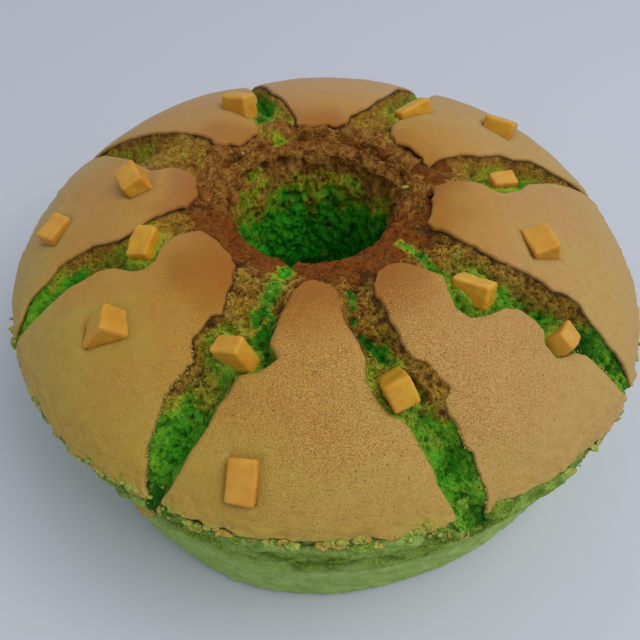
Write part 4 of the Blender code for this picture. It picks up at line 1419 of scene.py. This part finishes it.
def flake(run, bearing, long, wide, lift, tilt, curl, rows=6, columns=10):
    """A leaf bent outwards, with u along it and v across it, both from -1 to 1.

    point = spot + across * u * long / 2 + down * v * wide / 2 + out * (lift + tilt * v + curl * u^2).
    """
    spot = on_crust(run, bearing, 0.0)
    across = on_crust(run, bearing + 0.01, 0.0) - spot
    down = on_crust(run + MM, bearing, 0.0) - spot
    across, down = across / np.linalg.norm(across), down / np.linalg.norm(down)
    out = np.cross(down, across)
    v, u = np.meshgrid(np.linspace(-1, 1, rows), np.linspace(-1, 1, columns), indexing="ij")
    leaf = 0.35 + 0.65 * (1 - u**2)
    stands = lift + tilt * v * leaf + curl * u**2
    upper = spot + across * (u * long / 2)[..., None] + down * (v * leaf * wide / 2)[..., None]
    upper = upper + out * stands[..., None]
    upper = upper + 0.35 * MM * lumps(upper, 2.2 * MM, 47)[..., None] * (out + 0.6 * down)
    return pillow(upper, upper - out * FLAKE_THICKNESS)[:2]


turns = np.concatenate([draw.uniform(300, 384, 44), draw.uniform(24, 300, 40)])
turns = turns[~in_open_crack(torn_end(np.radians(turns)), np.radians(turns), 2 * MM)]
largest = (9 * MM, 6 * MM, 1.6 * MM, 2.4 * MM, -0.8 * MM)
leaves = [flake(RIM_RUN + 5.5 * MM, math.radians(332.2), *largest)]
for turn in turns:
    shape = MM * draw.uniform((2.0, 1.4, 0.2, -0.2, -0.5), (6.0, 3.2, 0.6, 1.3, 0.5))
    run = torn_end(math.radians(turn)) + draw.uniform(-0.6, 1.6) * MM
    leaves.append(flake(run, math.radians(turn), *shape))
green_front = (turns > 370) & (turns < 379)
tones = np.concatenate([[0.25], np.where(green_front, 0.8, draw.uniform(0, 0.8, len(turns)))])
points, quads = joined(leaves)
piece("rim_flakes", points, quads, bits_finish, tone=np.repeat(tones, len(leaves[0][0])))
print("there are", len(leaves), "flakes")

# %% [markdown]
# ## The looks of the cheese
# A cube of cheese kept its cut edges, a little softened by the oven. It is satin, and pinkish or golden.
# Light goes a short way into cheese, so it glows a little, and we set that with subsurface scattering. Its
# foot is stained green by the crumb, and its top is painted paler, as painted light from above.

# %% Finish of the cheese
cheese = new_finish("baked_cheese")
sunk, gold, painted_top_light = (mark(name) for name in ("sunk", "gold", "painted_top_light"))
wide = cloud(5 * MM, 2.0, 0.5)
fine = cloud(0.9 * MM, 2.0, 0.6)
pits = specks(2.6 * MM, 0.3 * MM, 0.45)
pink = mixed(between(wide, 0.35, 0.65), (0.53, 0.225, 0.028), (0.56, 0.28, 0.045))
golden = mixed(between(wide, 0.35, 0.65), (0.50, 0.225, 0.010), (0.56, 0.30, 0.016))
colour = mixed(gold, pink, golden)
# Painted light: the top of each cube is painted paler.
colour = mixed(times(painted_top_light, 0.22), colour, (0.62, 0.36, 0.065))
colour = mixed(between(fine, 0.5, 0.75, 0.0, 0.12), colour, (0.64, 0.38, 0.07))
colour = mixed(times(pits, 0.35), colour, (0.36, 0.16, 0.015))
colour = mixed(between(sunk, 0.15, 1.0, 0.0, 0.8), colour, (0.30, 0.24, 0.010))
shade_with(Base_Color=colour)
shade_with(Roughness=0.42)
shade_with(Specular_IOR_Level=0.16)
shade_with(Subsurface_Weight=0.45)
shade_with(Subsurface_Radius=(1.0, 0.45, 0.12))
shade_with(Subsurface_Scale=2.5 * MM)
bumped((fine, 0.1 * MM, 0.4), (pits, -0.2 * MM, 0.5))

# %% [markdown]
# ## Fourteen cubes
# We take the surface of a cube as a lattice, round its edges, and pull its corners unevenly, because a knife
# never cuts them square. Then each cube is leant and set into the crust. Its marks say how deep each point is
# sunk in the crumb, how golden the cube is, and where its top is, which carries painted light.

# %% The fourteen cubes
GREEN_FADE, DEEP_GREEN_FADE = 2.5 * MM, 5 * MM


def cheese_cube(number, steps=22):
    """Cube = core + rounding * unit(lattice - core), then each corner pulled by its own share."""
    axes, middle, half = CUBES[number - 1]
    lattice, quads = ball(steps)
    lattice = np.sign(lattice) * (1 - (1 - np.abs(lattice)) ** 1.5)
    draw = np.random.default_rng(number)
    pulls = draw.uniform(1 - CHEESE_UNEVENNESS, 1 + CHEESE_UNEVENNESS, (8, 3))
    place = lattice * half
    core = np.clip(place, -(half - CHEESE_ROUNDING), half - CHEESE_ROUNDING)
    way = place - core
    rounded = core + CHEESE_ROUNDING * way / np.linalg.norm(way, axis=1)[:, None]
    share = (rounded / half + 1) / 2
    pull = np.zeros_like(rounded)
    for index, corner in enumerate(np.ndindex(2, 2, 2)):
        pull += np.prod(np.where(corner, share, 1 - share), axis=1)[:, None] * pulls[index]
    made = rounded * pull
    made += 0.14 * MM * rough(made + number, 4 * MM, 90, 2)[:, None] * lattice
    points = made @ axes.T + middle
    bearing, radius = CHEESE[number - 1][:2]
    crust_axes, spot = crust_frame(math.radians(bearing), radius * MM)
    above = (points - spot) @ crust_axes[:, 2]
    fade = DEEP_GREEN_FADE if number in CHEESE_GREEN_FROM else GREEN_FADE
    marks = {
        "sunk": np.clip((CHEESE_GREEN_FROM.get(number, -1.0 * MM) - above) / fade, 0, 1),
        "gold": np.full(len(points), CHEESE_GOLD[number - 1]),
        # Painted light on the cube's top.
        "painted_top_light": CHEESE_TOP_LIGHT.get(number, 1.0) * smooth_step(made[:, 2] / half[2], 0.8, 0.98),
    }
    return points, quads, marks


for number in range(1, len(CHEESE) + 1):
    points, quads, marks = cheese_cube(number)
    piece(f"cube_{number:02d}", points, quads, cheese, (f"cheese_{number:02d}",), "cheese", **marks)

# %% [markdown]
# ## Floor
# The cake stands on a plain pale floor, wide enough to fill the view. The floor is there for the picture
# only, so it is marked as a part of the stage.

# %% Floor
FLOOR_REACH = 6.0
floor_mesh = bpy.data.meshes.new("floor")
corners = [(FLOOR_REACH * x, FLOOR_REACH * y, 0) for x, y in ((-1, -1), (1, -1), (1, 1), (-1, 1))]
floor_mesh.from_pydata(corners, [], [(0, 1, 2, 3)])
floor_finish = new_finish("pale_cloth")
shade_with(Base_Color=(0.53, 0.55, 0.62, 1), Roughness=0.9)
floor_mesh.materials.append(floor_finish)
floor = bpy.data.objects.new("floor", floor_mesh)
bpy.context.scene.collection.objects.link(floor)
floor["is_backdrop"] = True
print("the floor is", 2 * FLOOR_REACH, "m wide")

# %% [markdown]
# ## Light
# Soft daylight comes from all round, a little blue, as the world's own colour. One large window lamp stands
# high on the right and in front, and gives the shadows under the petals.

# %% Light
world = bpy.data.worlds.new("daylight")
world.use_nodes = True
sky = world.node_tree.nodes["Background"]
sky.inputs["Color"].default_value = (0.90, 0.95, 1.0, 1)
sky.inputs["Strength"].default_value = 0.60
bpy.context.scene.world = world
lamp = bpy.data.lights.new("window", "AREA")
lamp.size, lamp.energy, lamp.color = 0.8, 7.5, (1.0, 0.98, 0.95)
window = bpy.data.objects.new("window", lamp)
bpy.context.scene.collection.objects.link(window)
window_spot, target = Vector((0.55, -0.25, 1.05)), Vector((0, 0, 0.06))
facing = (target - window_spot).to_track_quat("-Z", "Y").to_matrix().to_4x4()
window.matrix_world = Matrix.Translation(window_spot) @ facing
print("the window shines with", lamp.energy, "watts")

# %% [markdown]
# ## Camera
# The camera looks down at the cake from the front, at the photo's height and distance. It first faces the
# middle, and then turns a little sideways and up, and rolls, as the photo was framed by hand.

# %% Camera
CAMERA_DISTANCE = 2.917 * RIM_RADIUS
camera_data = bpy.data.cameras.new("camera")
camera_data.sensor_width = 36
camera_data.lens = 42.1875
camera = bpy.data.objects.new("camera", camera_data)
bpy.context.scene.collection.objects.link(camera)
bpy.context.scene.camera = camera
elevation, yaw, pitch, roll = (math.radians(a) for a in (52.775, -0.495, 3.551, 2.01))
spot = np.array([0, -math.cos(elevation), math.sin(elevation)]) * CAMERA_DISTANCE
ahead = -spot / np.linalg.norm(spot)
right = np.array([1.0, 0, 0])
up = np.cross(right, ahead)
level = ahead * math.cos(yaw) * math.cos(pitch) + right * math.sin(yaw) * math.cos(pitch)
ahead = level + up * math.sin(pitch)
ahead /= np.linalg.norm(ahead)
right = np.cross(ahead, up)
right /= np.linalg.norm(right)
up = np.cross(right, ahead)
right, up = right * math.cos(roll) + up * math.sin(roll), up * math.cos(roll) - right * math.sin(roll)
turned = np.stack([right, up, -ahead], axis=1)
camera.matrix_world = Matrix.Translation(Vector(spot + MIDDLE)) @ Matrix(turned.tolist()).to_4x4()
bpy.context.scene.view_settings.view_transform = "Standard"
print("the camera is", round(CAMERA_DISTANCE, 3), "m from the middle of the cake's base")

# %% [markdown]
# ## The size of the looks
# The looks should fill the CAD part's box, and only the crumbs, the flakes and the flared rim may stand a
# millimetre past it. Both boxes are gathered, and the box of the looks is printed.

# %% Finish
new_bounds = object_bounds()
sizes = {"cad": [list(corner) for corner in cad_bounds], "scene": [list(corner) for corner in new_bounds]}
print("box of the looks:", [tuple(round(c, 4) for c in corner) for corner in new_bounds])
